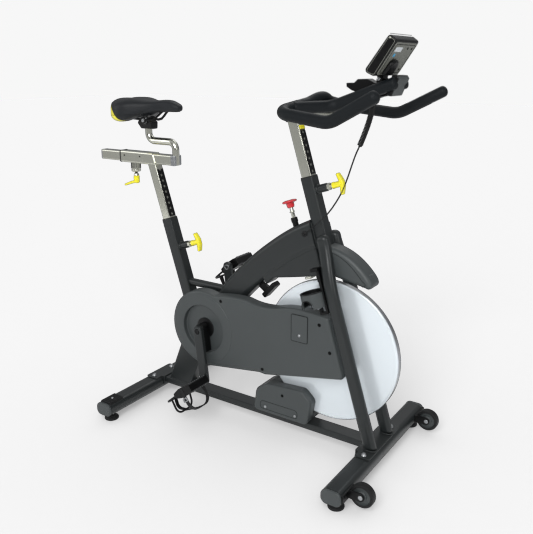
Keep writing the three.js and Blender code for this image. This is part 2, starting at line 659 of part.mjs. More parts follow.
function magnetCover() {
  const outer = sideways(rounded(COVER), FIT, 48);
  const inside = [
    [192, 79, 8], [203, 146, 20], [238, 169, 20], [364, 177, 18], [392, 150, 16], [379, 79, 10],
  ];
  const pocket = sideways(rounded(inside), FIT - 1, 44);
  const slot = drum(FLY.r + 6, FLY.x, FLY.z, -15, 15, 64);
  const screws = [[231, 92], [343, 92]].map(([x, z]) => drum(5, x, z, 47, 50, 12));
  return join(cut(outer, pocket, slot), ...screws);
}

function magnetCarrier() {
  const plate = rounded([[252, 96, 4], [374, 88, 6], [380, 138, 8], [300, 158, 8], [258, 140, 8]]);
  const plates = [-1, 1].map((s) => sideways(plate, Math.min(s * 17, s * 22), Math.max(s * 17, s * 22)));
  const bridge = sideways(rounded([[210, 86, 8], [268, 92, 3], [268, 112, 3], [218, 116, 8]]), -22, 22);
  const bore = drum(CARRIER_PIVOT.r + 0.4, CARRIER_PIVOT.x, CARRIER_PIVOT.z, -30, 30, 16);
  return cut(join(...plates, bridge), bore, drum(FLY.r + 3, FLY.x, FLY.z, -15, 15, 64));
}

// The sensor bar under the beam that watches the flywheel, on its foot.
function speedSensor() {
  const bar = sideways(rounded([[196, 463, 3], [207, 453, 3], [247, 498, 3], [236, 508, 3]]), -15, 15);
  const foot = sideways(rounded([[166, 484, 2], [190, 508, 2], [220, 484, 1], [204, 466, 1]]), -6, 6);
  return cut(join(bar, foot), beamBody(0, -FIT));
}

function addBrake() {
  const brake = assembly();
  const cover = magnetCover();
  const pivot = drum(CARRIER_PIVOT.r, CARRIER_PIVOT.x, CARRIER_PIVOT.z, 0, 45, 16);
  piece("left_magnet_cover", PLASTIC, join(cover, pivot.clone().translate(0, FIT, 0)), brake);
  piece("right_magnet_cover", PLASTIC, mirrored(cover), brake);
  piece("magnet_carrier", STEEL, magnetCarrier(), brake);

  const collarAt = onBrake(50);
  const down = brakeDown;
  const sleeve = turnedUp([[6.6, 0], [9.5, 0], [9.5, 14], [8.4, 14], [8.4, 28], [6.6, 28], [6.6, 0]], 20);
  piece("brake_collar", BLACK, cut(aim(sleeve, collarAt, down), beamBody()), brake);
  const pad = aim(block(-14, 14, -11, 11, 232, 238), onBrake(0), down);
  const stop = rod(onBrake(31), onBrake(33), 8, 16);
  piece("brake_rod", CHROME, join(rod(onBrake(4), onBrake(233), 5, 16), pad, stop), brake);
  const knob = [
    [0, -3], [20, -1.5], [22, 1], [21, 3.4], [12, 5], [11, 14], [9, 19], [5.4, 19], [5.4, 2], [0, 2],
  ];
  piece("tension_knob", RED, aim(turnedUp(knob, 28), onBrake(0), down), brake);
  piece("speed_sensor", BLACK, speedSensor(), brake);
}

// A turned piece about Z; each profile point is [radius, z].
function turnedUp(profile, sides = 24) {
  const points = profile.map(([r, z]) => v2(r, z));
  return new THREE.LatheGeometry(points, sides).rotateX(Math.PI / 2);
}

// ---- seat: post, fore-and-aft slider, saddle ----------------------------------------------------
const SLEEVE = { x0: -391, z: 856, h: 38, w: 36 }; // chrome sleeve on top of the seat post
const BAR = { x0: -484, x1: -158, h: 32, w: 30 }; // bar that slides in it
const STEM = { front: -153, back: -269, low: 843, level: 915, top: 968, r: 11 };
const POST_DEPTH = 200; // length of post inside its outer tube
const CLAMP_SCREW_X = -337;
const TILT = { x: STEM.back, z: 982 }; // tilt axis of the saddle

// Square post below z = top, leaning, with a row of pin holes in its front face.
function squarePost(at, depth, top, holes) {
  const length = depth + (top - at.z) / Math.cos(LEAN) + POST;
  const section = rectangle(POST, POST, 3);
  section.holes.push(rectangle(POST - 2 * WALL, POST - 2 * WALL, 1));
  const tube = lean(upwards(section, length, 2).translate(0, 0, -depth), at.x, at.z);
  const drilled = [];
  for (let i = 0; i < holes.count; i += 1) {
    const w = holes.first + i * holes.pitch;
    drilled.push(lean(rod(v3(8, 0, w), v3(40, 0, w), 5, 8), at.x, at.z));
  }
  return cut(tube, block(-700, 700, -40, 40, top, top + 200), ...drilled);
}

function seatPost() {
  const bottom = SLEEVE.z - SLEEVE.h / 2;
  const post = squarePost(SEAT_TOP, POST_DEPTH, bottom + 1, { count: 6, first: -99, pitch: 38 });
  const section = rectangle(SLEEVE.h, SLEEVE.w, 4);
  section.holes.push(rectangle(SLEEVE.h - 5, SLEEVE.w - 5, 2));
  const sleeve = upwards(section, 190, 3).rotateY(Math.PI / 2).translate(SLEEVE.x0, 0, SLEEVE.z);
  const ahead = lean(block(POST / 2, 120, -60, 60, 150, 300), SEAT_TOP.x, SEAT_TOP.z);
  const boss = rod(v3(CLAMP_SCREW_X, 0, bottom - 31), v3(CLAMP_SCREW_X, 0, bottom + 1), 15.5, 24);
  const screwHole = rod(v3(CLAMP_SCREW_X, 0, 790), v3(CLAMP_SCREW_X, 0, SLEEVE.z), 4.5, 12);
  return cut(join(post, cut(sleeve, ahead), boss), screwHole);
}

function saddleStem() {
  const section = rectangle(BAR.h, BAR.w, 3);
  section.holes.push(rectangle(BAR.h - 5, BAR.w - 5, 1));
  const bar = upwards(section, BAR.x1 - BAR.x0, 3).rotateY(Math.PI / 2).translate(BAR.x0, 0, SLEEVE.z);
  const { front, back, low, level, top } = STEM;
  const path = bent([[front, 0, low], [front, 0, level, 25], [back, 0, level, 25], [back, 0, top]]);
  return join(bar, sweep(polygon(STEM.r, 12), path, 20));
}

function saddleClamp() {
  const body = block(STEM.back - 20, STEM.back + 24, -17, 17, 950, 977);
  const bore = rod(v3(STEM.back, 0, 940), v3(STEM.back, 0, STEM.top + FIT), STEM.r + 1, 16);
  return join(cut(body, bore), drum(9, TILT.x, TILT.z, -17, 17, 20));
}

// Saddle stations from tail to nose: x, half width, top and bottom of the skirt.
const SADDLE = [
  [-387, 38, 1024, 998], [-380, 58, 1037, 987], [-364, 72, 1047, 979], [-332, 87, 1053, 976],
  [-300, 83, 1053, 982], [-266, 60, 1048, 994], [-236, 40, 1045, 1003], [-200, 27, 1048, 1009],
  [-165, 22, 1048, 1012], [-136, 17, 1040, 1013], [-122, 9, 1030, 1015],
];

const SHELL_TOP = 1018; // underside of the padding

// Plan of the saddle's plastic shell, drawn inside the padding by an inset.
function saddlePlan(inset) {
  const middle = SADDLE.slice(1, -1);
  const left = middle.map(([x, half]) => [x, half - inset]);
  const right = middle.map(([x, half]) => [x, inset - half]).reverse();
  return rounded([...left, ...right]);
}

function saddleRing([x, half, top, bottom], sides = 18) {
  const ring = [];
  const middle = (top + bottom) / 2;
  for (let i = 0; i < sides; i += 1) {
    const a = (i / sides) * Math.PI * 2;
    const c = Math.cos(a);
    const d = Math.sin(a);
    const y = half * Math.sign(c) * Math.abs(c) ** 0.7;
    ring.push(v3(x, y, middle + ((top - bottom) / 2) * Math.sign(d) * Math.abs(d) ** 0.7));
  }
  return ring;
}

function addSeat() {
  const seat = assembly();
  piece("seat_post", CHROME, seatPost(), seat);
  piece("saddle_stem", CHROME, saddleStem(), seat);
  piece("saddle_clamp", BLACK, saddleClamp(), seat);
  const pad = loft(SADDLE.map((s) => saddleRing(s)));
  const pocket = upwards(saddlePlan(8), SHELL_TOP - 900).translate(0, 0, 900);
  piece("saddle_pad", finish(0x1b1d1f, 0.6, 0), cut(pad, pocket), seat);
  const shell = upwards(saddlePlan(8 + FIT), 5).translate(0, 0, SHELL_TOP - FIT - 5);
  const rails = [-1, 1].map((s) => sweep(polygon(3.5, 6), bent([[-352, s * 21, SHELL_TOP - 3],
    [-340, s * 21, 988, 20], [-230, s * 21, TILT.z, 40], [-190, s * 12, SHELL_TOP - 3]]), 12));
  const jaws = [[-25, -17.4], [17.4, 25]].map(([y0, y1]) => drum(12, TILT.x, TILT.z, y0, y1, 14));
  piece("saddle_base", BLACK, join(shell, ...rails, ...jaws), seat);

  const hub = rod(v3(CLAMP_SCREW_X, 0, 766), v3(CLAMP_SCREW_X, 0, 790), 9.5, 16, 7.5);
  const screw = rod(v3(CLAMP_SCREW_X, 0, 780), v3(CLAMP_SCREW_X, 0, SLEEVE.z - BAR.h / 2 - 0.4), 4, 12);
  const arm = sideways(rounded([[4, 768, 2], [4, 777, 2], [-24, 769, 8], [-52, 757, 2], [-52, 752, 2],
    [-24, 761, 8]]), -6, 6).translate(CLAMP_SCREW_X, 0, 0);
  piece("slider_lever", YELLOW, join(hub, screw, arm), seat);
}

// T-handled pull pin, about the X axis; its tip rests just clear of the post.
function pullPin(at, pinAt) {
  const pin = rod(v3(TUBE / 2 - WALL + FIT, 0, 0), v3(76, 0, 0), 5.6, 14);
  const hub = rod(v3(70, 0, 0), v3(98, 0, 0), 9, 16, 8);
  const handle = sideways(rounded([[94, -10, 4], [90, -30, 2.5], [97, -31, 2.5], [106, -9, 6], [106, 9, 6],
    [97, 31, 2.5], [90, 30, 2.5], [94, 10, 4]]), -7, 7, 3);
  return lean(surface(join(pin, hub, handle)).translate(0, 0, pinAt), at.x, at.z);
}

// ---- handlebar: post, bars, console and its lead ------------------------------------------------
const GRIP_R = 16; // foam-covered bar
const BAR_STEM = { x0: 284, x1: 426, z0: 1000, z1: 1032 };

function handlebarPost() {
  const post = squarePost(HEAD_TOP, 165, BAR_STEM.z0 + 1, { count: 5, first: -40, pitch: 38 });
  const { x0, x1, z0, z1 } = BAR_STEM;
  const half = POST / 2;
  const tube = block(x0, x1, -half, half, z0, z1);
  const inside = block(x0 + 3, x1 + 1, 3 - half, half - 3, z0 + 3, z1 - 3);
  return join(post, cut(tube, inside));
}

const HORN = [
  [650, 228, 1084], [526, 211, 1020, 70], [364, 194, 1038, 44], [380, 60, 1057, 60], [391, 0, 1075, 90],
];
const INNER_BAR = [[378, 128, 1047], [441, 34, 1049, 44], [614, 34, 1111]];

const acrossBike = ([x, y, z, r]) => [x, -y, z, r];

// Both horns and the crossbar between them, with the two inner bars that carry the console.
function grip(r, sides) {
  const whole = [...HORN, ...HORN.slice(0, -1).reverse().map(acrossBike)];
  const section = polygon(r, sides);
  const inner = [INNER_BAR, INNER_BAR.map(acrossBike)].map((points) => sweep(section, bent(points), 12));
  return join(sweep(section, bent(whole), 46), ...inner);
}

const CONSOLE_HINGE = { x: 566, z: 1121 };
const CONSOLE_HALF = 72;
const HINGE_PIN_R = 3;

function consoleHousing() {
  const side = rounded([[544, 1140, 9], [575, 1126, 8], [634, 1213, 7], [611, 1230, 9]]);
  const lug = rounded([[556, 1134, 2], [559, 1120, 5], [566, 1113, 4], [573, 1120, 5], [576, 1132, 2]]);
  const bore = drum(HINGE_PIN_R + 0.4, CONSOLE_HINGE.x, CONSOLE_HINGE.z, -30, 30, 12);
  return cut(join(sideways(side, -CONSOLE_HALF, CONSOLE_HALF), sideways(lug, -17, 17)), bore);
}

const TRAY = { half: 17, ear: 23, face: 34 };

// Space taken up by the straight part of an inner bar.
function barRoom(s) {
  const [, [x0, y0, z0], [x1, y1, z1]] = INNER_BAR;
  return rod(v3(x0, s * y0, z0), v3(x1 + FIT, s * y1, z1 + FIT), GRIP_R + FIT, 24);
}

// Bracket between the inner bars: body, hinge ears and the plate over the bars' front ends.
function consoleTray() {
  const side = rounded([
    [470, 1110, 2], [471, 1100, 2], [486, 1091, 3], [536, 1077, 4], [556, 1073, 4], [604, 1082, 3],
    [622, 1120, 3], [606, 1122, 3], [575, 1111, 2], [552, 1111, 2], [530, 1121, 3], [503, 1120, 3],
    [492, 1110, 2],
  ]);
  const face = rounded([[606, 1131, 3], [622, 1130, 3], [626, 1122, 3], [607, 1078, 3], [594, 1080, 3]]);
  const shelf = block(550, 586, -TRAY.ear, TRAY.ear, 1105, 1111);
  const ear = rounded([[560, 1108, 1], [559, 1121, 4], [566, 1128, 4], [573, 1121, 4], [574, 1108, 1]]);
  const inside = 17.4;
  const ears = [sideways(ear, -TRAY.ear, -inside), sideways(ear, inside, TRAY.ear)];
  const { x, z } = CONSOLE_HINGE;
  const pin = drum(HINGE_PIN_R, x, z, -TRAY.ear - 2, TRAY.ear + 2, 12);
  const rounding = drum(10, x, z, -inside, inside, 16);
  const [leadX, leadY, leadZ] = LEAD[0];
  const gland = rod(v3(leadX, leadY, leadZ + 1), v3(leadX, leadY, 1090), 5, 12, 9);
  const plate = sideways(face, -TRAY.face, TRAY.face);
  const body = join(sideways(side, -TRAY.half, TRAY.half), plate, shelf, gland);
  return join(cut(body, rounding, barRoom(-1), barRoom(1)), ...ears, pin);
}

// Route of the console's lead: a curly stretch, then plain cable to the grommet on the beam.
const LEAD = [
  [548, -12, 1066], [547, -13, 1045], [541, -17, 1012], [531, -21, 978], [520, -25, 946],
];
const CABLE = [
  [519.6, -25.1, 945], [513, -28, 928], [504, -32, 898], [494, -36, 862], [480, -40, 822], [462, -43, 788],
  [440, -44, 757], [412, -44, 729], [388, -44, 707], [368, -45, 690], [358.6, -43, 685], [358, -38.2, 684.5],
];
const CURL_R = 7.5;
const CABLE_R = 1.5;
const GROMMET = { x: 358, z: 684.5, r: 9, nozzle: 3, long: 6.2 };

const smooth = (points) => new THREE.CatmullRomCurve3(points.map((p) => v3(...p)));

function addHandlebar() {
  const bars = assembly();
  piece("handlebar_post", CHROME, handlebarPost(), bars);
  const clamp = block(372, 422, -60, 60, BAR_STEM.z1 + FIT, 1050);
  piece("handlebar", FOAM, join(grip(GRIP_R, 8), clamp), bars);
  piece("console", BLACK, consoleHousing(), bars);
  piece("console_tray", BLACK, consoleTray(), bars);
  piece("lead_curl", RUBBER, sweep(polygon(CURL_R, 10), smooth(LEAD), 10), bars);
  piece("lead_cable", RUBBER, sweep(polygon(CABLE_R, 8), smooth(CABLE), 42), bars);
  const { r, nozzle, long } = GROMMET;
  const seal = [
    [0, 0], [0, -long], [nozzle, -long], [nozzle + 1, -long / 2], [r - 2, -long / 2], [r, 0], [0, 0],
  ];
  const boss = turned(seal, GROMMET.x, GROMMET.z, 16);
  piece("cable_grommet", RUBBER, boss.translate(0, -BEAM.half - FIT, 0), bars);
}

// ---- bottle cage ---------------------------------------------------------------------------------
const CAGE = { r: 35, t: 3, u: -61, y: -60, z: 519 };

function bottleCage() {
  const ring = (w0, w1, r) => {
    const wall = circle(r + CAGE.t);
    wall.holes.push(circle(r));
    return upwards(wall, w1 - w0, 8).translate(CAGE.u, CAGE.y, w0);
  };
  const strip = block(-28, -LEG.deep / 2 - 0.5, CAGE.y - 9, CAGE.y + 9, -44, 92);
  const hook = block(-44, -24, CAGE.y - 9, CAGE.y + 9, -44, -40);
  const clip = block(-42, -24, CAGE.y - 12, CAGE.y + 12, 84, 92);
  const parts = [ring(-22, 24, CAGE.r), strip, hook, clip];
  return lean(join(...parts), legX(CAGE.z), CAGE.z);
}

function addPins() {
  const pins = assembly();
  piece("seat_pull_pin", YELLOW, pullPin(SEAT_TOP, PIN_SEAT), pins);
  piece("handlebar_pull_pin", YELLOW, pullPin(HEAD_TOP, PIN_HEAD), pins);
}

addBase();
addFrame();
addGuards();
addDrive();
addBrake();
addSeat();
addPins();
addHandlebar();
piece("bottle_cage", PLASTIC, bottleCage());

export default bike;
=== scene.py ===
import math

import bmesh
import bpy
from mathutils import Matrix, Vector


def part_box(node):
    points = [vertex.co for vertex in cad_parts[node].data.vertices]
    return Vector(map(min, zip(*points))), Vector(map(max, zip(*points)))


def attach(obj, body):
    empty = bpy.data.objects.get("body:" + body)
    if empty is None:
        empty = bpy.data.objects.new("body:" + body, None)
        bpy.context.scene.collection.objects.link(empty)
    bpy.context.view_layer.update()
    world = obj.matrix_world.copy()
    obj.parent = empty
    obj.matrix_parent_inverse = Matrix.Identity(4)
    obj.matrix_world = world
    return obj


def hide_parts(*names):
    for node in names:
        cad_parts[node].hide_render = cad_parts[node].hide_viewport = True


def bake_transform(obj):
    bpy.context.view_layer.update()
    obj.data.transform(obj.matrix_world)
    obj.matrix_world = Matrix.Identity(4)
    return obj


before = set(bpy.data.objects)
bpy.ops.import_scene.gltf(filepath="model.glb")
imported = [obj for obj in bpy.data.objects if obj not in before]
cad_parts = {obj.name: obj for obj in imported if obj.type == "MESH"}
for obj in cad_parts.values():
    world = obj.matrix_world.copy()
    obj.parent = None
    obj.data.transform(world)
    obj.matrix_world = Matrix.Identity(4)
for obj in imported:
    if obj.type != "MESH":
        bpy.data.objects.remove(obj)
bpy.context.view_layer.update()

# ---- places --------------------------------------------------------------------------------------
# Everything is drawn in millimetres from the crank axis and the floor, then put in the row frame.
axle_low, axle_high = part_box("crank_axle")
CRANK_X = (axle_low.x + axle_high.x) / 2
CRANK_Z = 321.0
TO_ROW = Matrix.Translation((CRANK_X, 0, 0)) @ Matrix.Scale(0.001, 4)
LEAN = math.radians(17.5)
SLOPE = math.tan(LEAN)
SIDE = Matrix(((1, 0, 0, 0), (0, 0, -1, 0), (0, 1, 0, 0), (0, 0, 0, 1)))
FLAT = Matrix.Identity(4)
ENDWAYS = Matrix(((0, 0, 1, 0), (0, 1, 0, 0), (-1, 0, 0, 0), (0, 0, 0, 1)))
SIDES = (("right", -1), ("left", 1))


def leaning(x, z, y=0):
    """Place of a piece that stands on the frame's leaning axis through (x, z)."""
    return Matrix.Translation((x, y, z)) @ Matrix.Rotation(-LEAN, 4, "Y")


def across(x, z, y=0):
    """Place of a turned piece whose axis runs along +Y."""
    return Matrix.Translation((x, y, z)) @ Matrix.Rotation(-math.pi / 2, 4, "X")


def outward(x, z, y, s):
    """Place of a turned piece on the right (s = -1) or left (s = 1), its axis running away from the bike."""
    return across(x, z, y) @ (FLAT if s > 0 else Matrix.Rotation(math.pi, 4, "X"))


def aimed(start, end):
    """Place of a piece whose +Z runs from one point to another."""
    line = Vector(end) - Vector(start)
    return Matrix.Translation(Vector(start)) @ line.to_track_quat("Z", "Y").to_matrix().to_4x4()


# ---- camera, floor and lights --------------------------------------------------------------------
scene = bpy.context.scene
camera = bpy.data.objects.new("camera", bpy.data.cameras.new("camera"))
scene.collection.objects.link(camera)
scene.camera = camera
camera.location = (1.198, -1.656, 1.150)
camera.rotation_euler = (math.radians(90 - 16.76), 0, math.radians(33.76))
camera.data.lens = 44.76
camera.data.sensor_width = 36
camera.data.clip_start = 0.05
scene.view_settings.view_transform = "Standard"
PAPER = (0.93, 0.93, 0.93, 1)


def area_light(name, place, aim, size, power, shadow=True):
    lamp = bpy.data.lights.new(name, "AREA")
    lamp.shape = "DISK"
    lamp.size = size
    lamp.energy = power
    lamp.use_shadow = shadow
    lit = bpy.data.objects.new(name, lamp)
    lit.location = place
    lit.rotation_euler = (Vector(aim) - Vector(place)).to_track_quat("-Z", "Y").to_euler()
    scene.collection.objects.link(lit)


area_light("key_light", (1.2, -2.8, 2.4), (0, 0, 0.5), 2.2, 86)
area_light("fill_light", (-2.6, -2.0, 1.6), (0, 0, 0.6), 1.8, 22, False)
area_light("rim_light", (-0.6, 2.4, 3.0), (0, 0, 0.6), 1.6, 12, False)
area_light("front_light", (2.9, -0.4, 1.5), (0.2, 0, 0.6), 1.2, 14, False)


def backdrop():
    world = bpy.data.worlds.new("studio")
    scene.world = world
    world.use_nodes = True
    nodes, links = world.node_tree.nodes, world.node_tree.links
    nodes.clear()
    out = nodes.new("ShaderNodeOutputWorld")
    seen = nodes.new("ShaderNodeBackground")
    seen.inputs["Color"].default_value = PAPER
    seen.inputs["Strength"].default_value = 1.0
    light = nodes.new("ShaderNodeBackground")
    light.inputs["Strength"].default_value = 0.75
    ramp = nodes.new("ShaderNodeValToRGB")
    ramp.color_ramp.elements[0].position = 0.48
    ramp.color_ramp.elements[0].color = (0.15, 0.155, 0.16, 1)
    ramp.color_ramp.elements[1].position = 0.86
    ramp.color_ramp.elements[1].color = (0.80, 0.81, 0.82, 1)
    where = nodes.new("ShaderNodeTexCoord")
    split = nodes.new("ShaderNodeSeparateXYZ")
    lift = nodes.new("ShaderNodeMath")
    lift.operation = "MULTIPLY_ADD"
    lift.inputs[1].default_value = 0.5
    lift.inputs[2].default_value = 0.5
    ray = nodes.new("ShaderNodeLightPath")
    mix = nodes.new("ShaderNodeMixShader")
    links.new(where.outputs["Generated"], split.inputs[0])
    links.new(split.outputs["Z"], lift.inputs[0])
    links.new(lift.outputs[0], ramp.inputs[0])
    links.new(ramp.outputs[0], light.inputs["Color"])
    links.new(ray.outputs["Is Camera Ray"], mix.inputs[0])
    links.new(light.outputs[0], mix.inputs[1])
    links.new(seen.outputs[0], mix.inputs[2])
    links.new(mix.outputs[0], out.inputs[0])


def floor():
    bpy.ops.mesh.primitive_plane_add(size=40, location=(0, 0, -0.0004))
    ground = bpy.context.object
    ground.name = "floor"
    m = bpy.data.materials.new("floor_paper")
    m.use_nodes = True
    skin = m.node_tree.nodes["Principled BSDF"]
    skin.inputs["Base Color"].default_value = PAPER
    skin.inputs["Roughness"].default_value = 0.9
    ground.data.materials.append(m)
    ground.is_shadow_catcher = True


backdrop()
floor()


# ---- finishes ------------------------------------------------------------------------------------
COAT_ROUGHNESS = 0.12
BUMP_DEPTH = 0.0006


def finish(name, colour, rough, metal=0.0, grain=(900, 0.05), patch=(14, 0.06), spread=0.06, coat=0.0,
           cells=None, gloss=0.5):
    """A procedural finish: fine grain in the bump, slow patches in the colour and the roughness."""
    m = bpy.data.materials.new(name)
    m.use_nodes = True
    nodes, links = m.node_tree.nodes, m.node_tree.links
    skin = nodes["Principled BSDF"]
    skin.inputs["Metallic"].default_value = metal
    skin.inputs["Coat Weight"].default_value = coat
    skin.inputs["Coat Roughness"].default_value = COAT_ROUGHNESS
    skin.inputs["Specular IOR Level"].default_value = gloss
    where = nodes.new("ShaderNodeTexCoord").outputs["Object"]

    def noise(scale, detail):
        n = nodes.new("ShaderNodeTexNoise")
        n.inputs["Scale"].default_value = scale
        n.inputs["Detail"].default_value = detail
        links.new(where, n.inputs["Vector"])
        return n.outputs["Fac"]

    slow = noise(patch[0], 4)
    tint = nodes.new("ShaderNodeMix")
    tint.data_type = "RGBA"
    shade = [c * (1 - patch[1]) for c in colour] + [1]
    light = [min(1, c * (1 + patch[1])) for c in colour] + [1]
    tint.inputs["A"].default_value = shade
    tint.inputs["B"].default_value = light
    links.new(slow, tint.inputs["Factor"])
    links.new(tint.outputs["Result"], skin.inputs["Base Color"])
    dull = nodes.new("ShaderNodeMapRange")
    dull.inputs["To Min"].default_value = rough - spread
    dull.inputs["To Max"].default_value = rough + spread
    links.new(noise(patch[0] * 5, 3), dull.inputs["Value"])
    links.new(dull.outputs["Result"], skin.inputs["Roughness"])
    if cells:
        texture = nodes.new("ShaderNodeTexVoronoi")
        texture.inputs["Scale"].default_value = cells
        links.new(where, texture.inputs["Vector"])
        height = texture.outputs["Distance"]
    else:
        height = noise(grain[0], 2)
    bump = nodes.new("ShaderNodeBump")
    bump.inputs["Strength"].default_value = grain[1]
    bump.inputs["Distance"].default_value = BUMP_DEPTH
    links.new(height, bump.inputs["Height"])
    links.new(bump.outputs["Normal"], skin.inputs["Normal"])
    return m


LOOKS = {
    "paint": finish("charcoal_paint", (0.013, 0.0155, 0.016), 0.38, 0.1, (420, 0.10), (9, 0.08), 0.05, 0.04,
                    gloss=0.38),
    "plastic": finish("charcoal_plastic", (0.036, 0.042, 0.043), 0.48, 0.0, (1400, 0.30), (12, 0.07), 0.05),
    "black": finish("black_plastic", (0.0015, 0.0016, 0.0018), 0.36, 0.0, (1500, 0.22), (16, 0.12), 0.07,
                    gloss=0.2),
    "chrome": finish("chrome", (0.56, 0.56, 0.49), 0.12, 1.0, (260, 0.04), (20, 0.05), 0.05),
    "steel": finish("brushed_steel", (0.36, 0.37, 0.38), 0.34, 1.0, (700, 0.10), (25, 0.10), 0.08),
    "yellow": finish("yellow_plastic", (0.78, 0.70, 0.012), 0.34, 0.0, (600, 0.05), (20, 0.05), 0.05, 0.2),
    "red": finish("red_plastic", (0.52, 0.010, 0.018), 0.32, 0.0, (600, 0.05), (20, 0.05), 0.05, 0.3),
    "foam": finish("grip_foam", (0.002, 0.0036, 0.0050), 0.5, 0.0, (1700, 0.5), (40, 0.15), 0.05, cells=900,
                   gloss=0.2),
    "flywheel": finish("silver_gloss", (0.66, 0.71, 0.745), 0.24, 0.30, (300, 0.02), (5, 0.02), 0.015, 0.3),
    "rubber": finish("rubber", (0.004, 0.0043, 0.0046), 0.62, 0.0, (1100, 0.35), (30, 0.15), 0.08, gloss=0.3),
    "saddle": finish("saddle_leather", (0.0045, 0.0058, 0.0078), 0.48, 0.0, (700, 0.50), (30, 0.15), 0.08,
                     cells=700, gloss=0.32),
}
DARK = finish("dark_hollow", (0.002, 0.002, 0.002), 0.8, gloss=0.1)
LABEL = finish("label_film", (0.55, 0.58, 0.60), 0.4)
BLUE = finish("blue_dot", (0.01, 0.30, 0.55), 0.4)
OLIVE = finish("console_back", (0.13, 0.133, 0.115), 0.5, 0.0, (1200, 0.3))
PEDAL_GREY = finish("pedal_edge", (0.05, 0.052, 0.055), 0.4)


# ---- shape helpers -------------------------------------------------------------------------------
def arcs(points, steps=7):
    """A closed outline with round corners; each point is (a, b, radius)."""
    out = []
    for i, point in enumerate(points):
        here = Vector(point[:2])
        r = point[2] if len(point) > 2 else 0
        if r <= 0:
            out.append(here)
            continue
        back = (Vector(points[i - 1][:2]) - here).normalized()
        ahead = (Vector(points[(i + 1) % len(points)][:2]) - here).normalized()
        half = back.angle(ahead) / 2
        reach = r / math.tan(half)
        middle = here + (back + ahead).normalized() * (r / math.sin(half))
        start = here + back * reach - middle
        end = here + ahead * reach - middle
        first = math.atan2(start.y, start.x)
        turn = (math.atan2(end.y, end.x) - first + math.pi) % (2 * math.pi) - math.pi
        for k in range(steps + 1):
            a = first + turn * k / steps
            out.append(middle + Vector((math.cos(a), math.sin(a))) * r)
    return out


def box2(w, h, r, steps=7):
    return arcs([(-w / 2, -h / 2, r), (w / 2, -h / 2, r), (w / 2, h / 2, r), (-w / 2, h / 2, r)], steps)


def box_at(x, y, w, h, r):
    """The outline of a box around (x, y)."""
    return [Vector((x + a, y + b)) for a, b in box2(w, h, r)]


def hexagon(r, edge):
    """Outline of a nut with rounded corners."""
    corners = [math.radians(60 * k) for k in range(6)]
    return arcs([(r * math.cos(a), r * math.sin(a), edge) for a in corners], 2)


def ring2(r, x=0, y=0, sides=64):
    return [Vector((x + r * math.cos(2 * math.pi * k / sides), y + r * math.sin(2 * math.pi * k / sides)))
            for k in range(sides)]


def bow(start, pull, end, steps=14):
    """Points of a quadratic curve after its start."""
    a, b, c = Vector(start), Vector(pull), Vector(end)
    return [a * (1 - t) ** 2 + b * 2 * t * (1 - t) + c * t * t
            for t in (k / steps for k in range(1, steps + 1))]


def arc2(x, y, r, a0, a1, steps=48):
    turn = math.radians(a1 - a0)
    return [Vector((x + r * math.cos(math.radians(a0) + turn * k / steps),
                    y + r * math.sin(math.radians(a0) + turn * k / steps))) for k in range(steps + 1)]


def plate(outlines, lo, hi, edge=1.0, place=SIDE, rounds=4):
    """Outlines (the first outside, the rest holes) drawn out from lo to hi, with rounded edges."""
    curve = bpy.data.curves.new("plate", "CURVE")
    curve.dimensions = "2D"
    curve.fill_mode = "BOTH"
    curve.extrude = max((hi - lo) / 2 - edge, 0)
    curve.bevel_depth = edge
    curve.bevel_resolution = rounds
    curve.offset = -edge
    for line in outlines:
        spline = curve.splines.new("POLY")
        spline.points.add(len(line) - 1)
        for point, (a, b) in zip(spline.points, line):
            point.co = (a, b, 0, 1)
        spline.use_cyclic_u = True
    holder = bpy.data.objects.new("plate", curve)
    scene.collection.objects.link(holder)
    graph = bpy.context.evaluated_depsgraph_get()
    mesh = bpy.data.meshes.new_from_object(holder.evaluated_get(graph))
    bpy.data.objects.remove(holder)
    bm = bmesh.new()
    bm.from_mesh(mesh)
    bpy.data.meshes.remove(mesh)
    middle = (lo + hi) / 2
    shift = Matrix.Translation((0, middle, 0)) if place is SIDE else Matrix.Translation((0, 0, middle))
    where = shift @ place if place is SIDE else place @ shift
    bm.transform(where)
    bmesh.ops.remove_doubles(bm, verts=bm.verts, dist=0.002)
    return bm


def skin(rings, closed=False):
    """Joins rings of equally many points; the first and the last ring are closed over."""
    bm = bmesh.new()
    rows = [[bm.verts.new(p) for p in ring] for ring in rings]
    n = len(rows[0])
    pairs = list(zip(rows, rows[1:])) + ([(rows[-1], rows[0])] if closed else [])
    for one, two in pairs:
        for j in range(n):
            k = (j + 1) % n
            bm.faces.new((one[j], one[k], two[k], two[j]))
    if not closed:
        bm.faces.new(list(reversed(rows[0])))
        bm.faces.new(rows[-1])
    bmesh.ops.remove_doubles(bm, verts=bm.verts, dist=0.0005)
    bmesh.ops.recalc_face_normals(bm, faces=bm.faces)
    return bm


def lathe(profile, place, sides=96):
    """A turned piece about local Z; each profile point is (radius, height) and the ends meet the axis."""
    bm = bmesh.new()
    steps = [2 * math.pi * k / sides for k in range(sides)]
    rows = []
    for r, z in profile:
        if r < 1e-6:
            rows.append([bm.verts.new((0, 0, z))])
        else:
            rows.append([bm.verts.new((r * math.cos(a), r * math.sin(a), z)) for a in steps])
    for one, two in zip(rows, rows[1:]):
        for j in range(sides):
            k = (j + 1) % sides
            corners = [one[j % len(one)], one[k % len(one)], two[k % len(two)], two[j % len(two)]]
            corners = [c for i, c in enumerate(corners) if c not in corners[:i]]
            if len(corners) > 2:
                bm.faces.new(corners)
    bmesh.ops.remove_doubles(bm, verts=bm.verts, dist=0.0005)
    bmesh.ops.recalc_face_normals(bm, faces=bm.faces)
    bm.transform(place)
    return bm


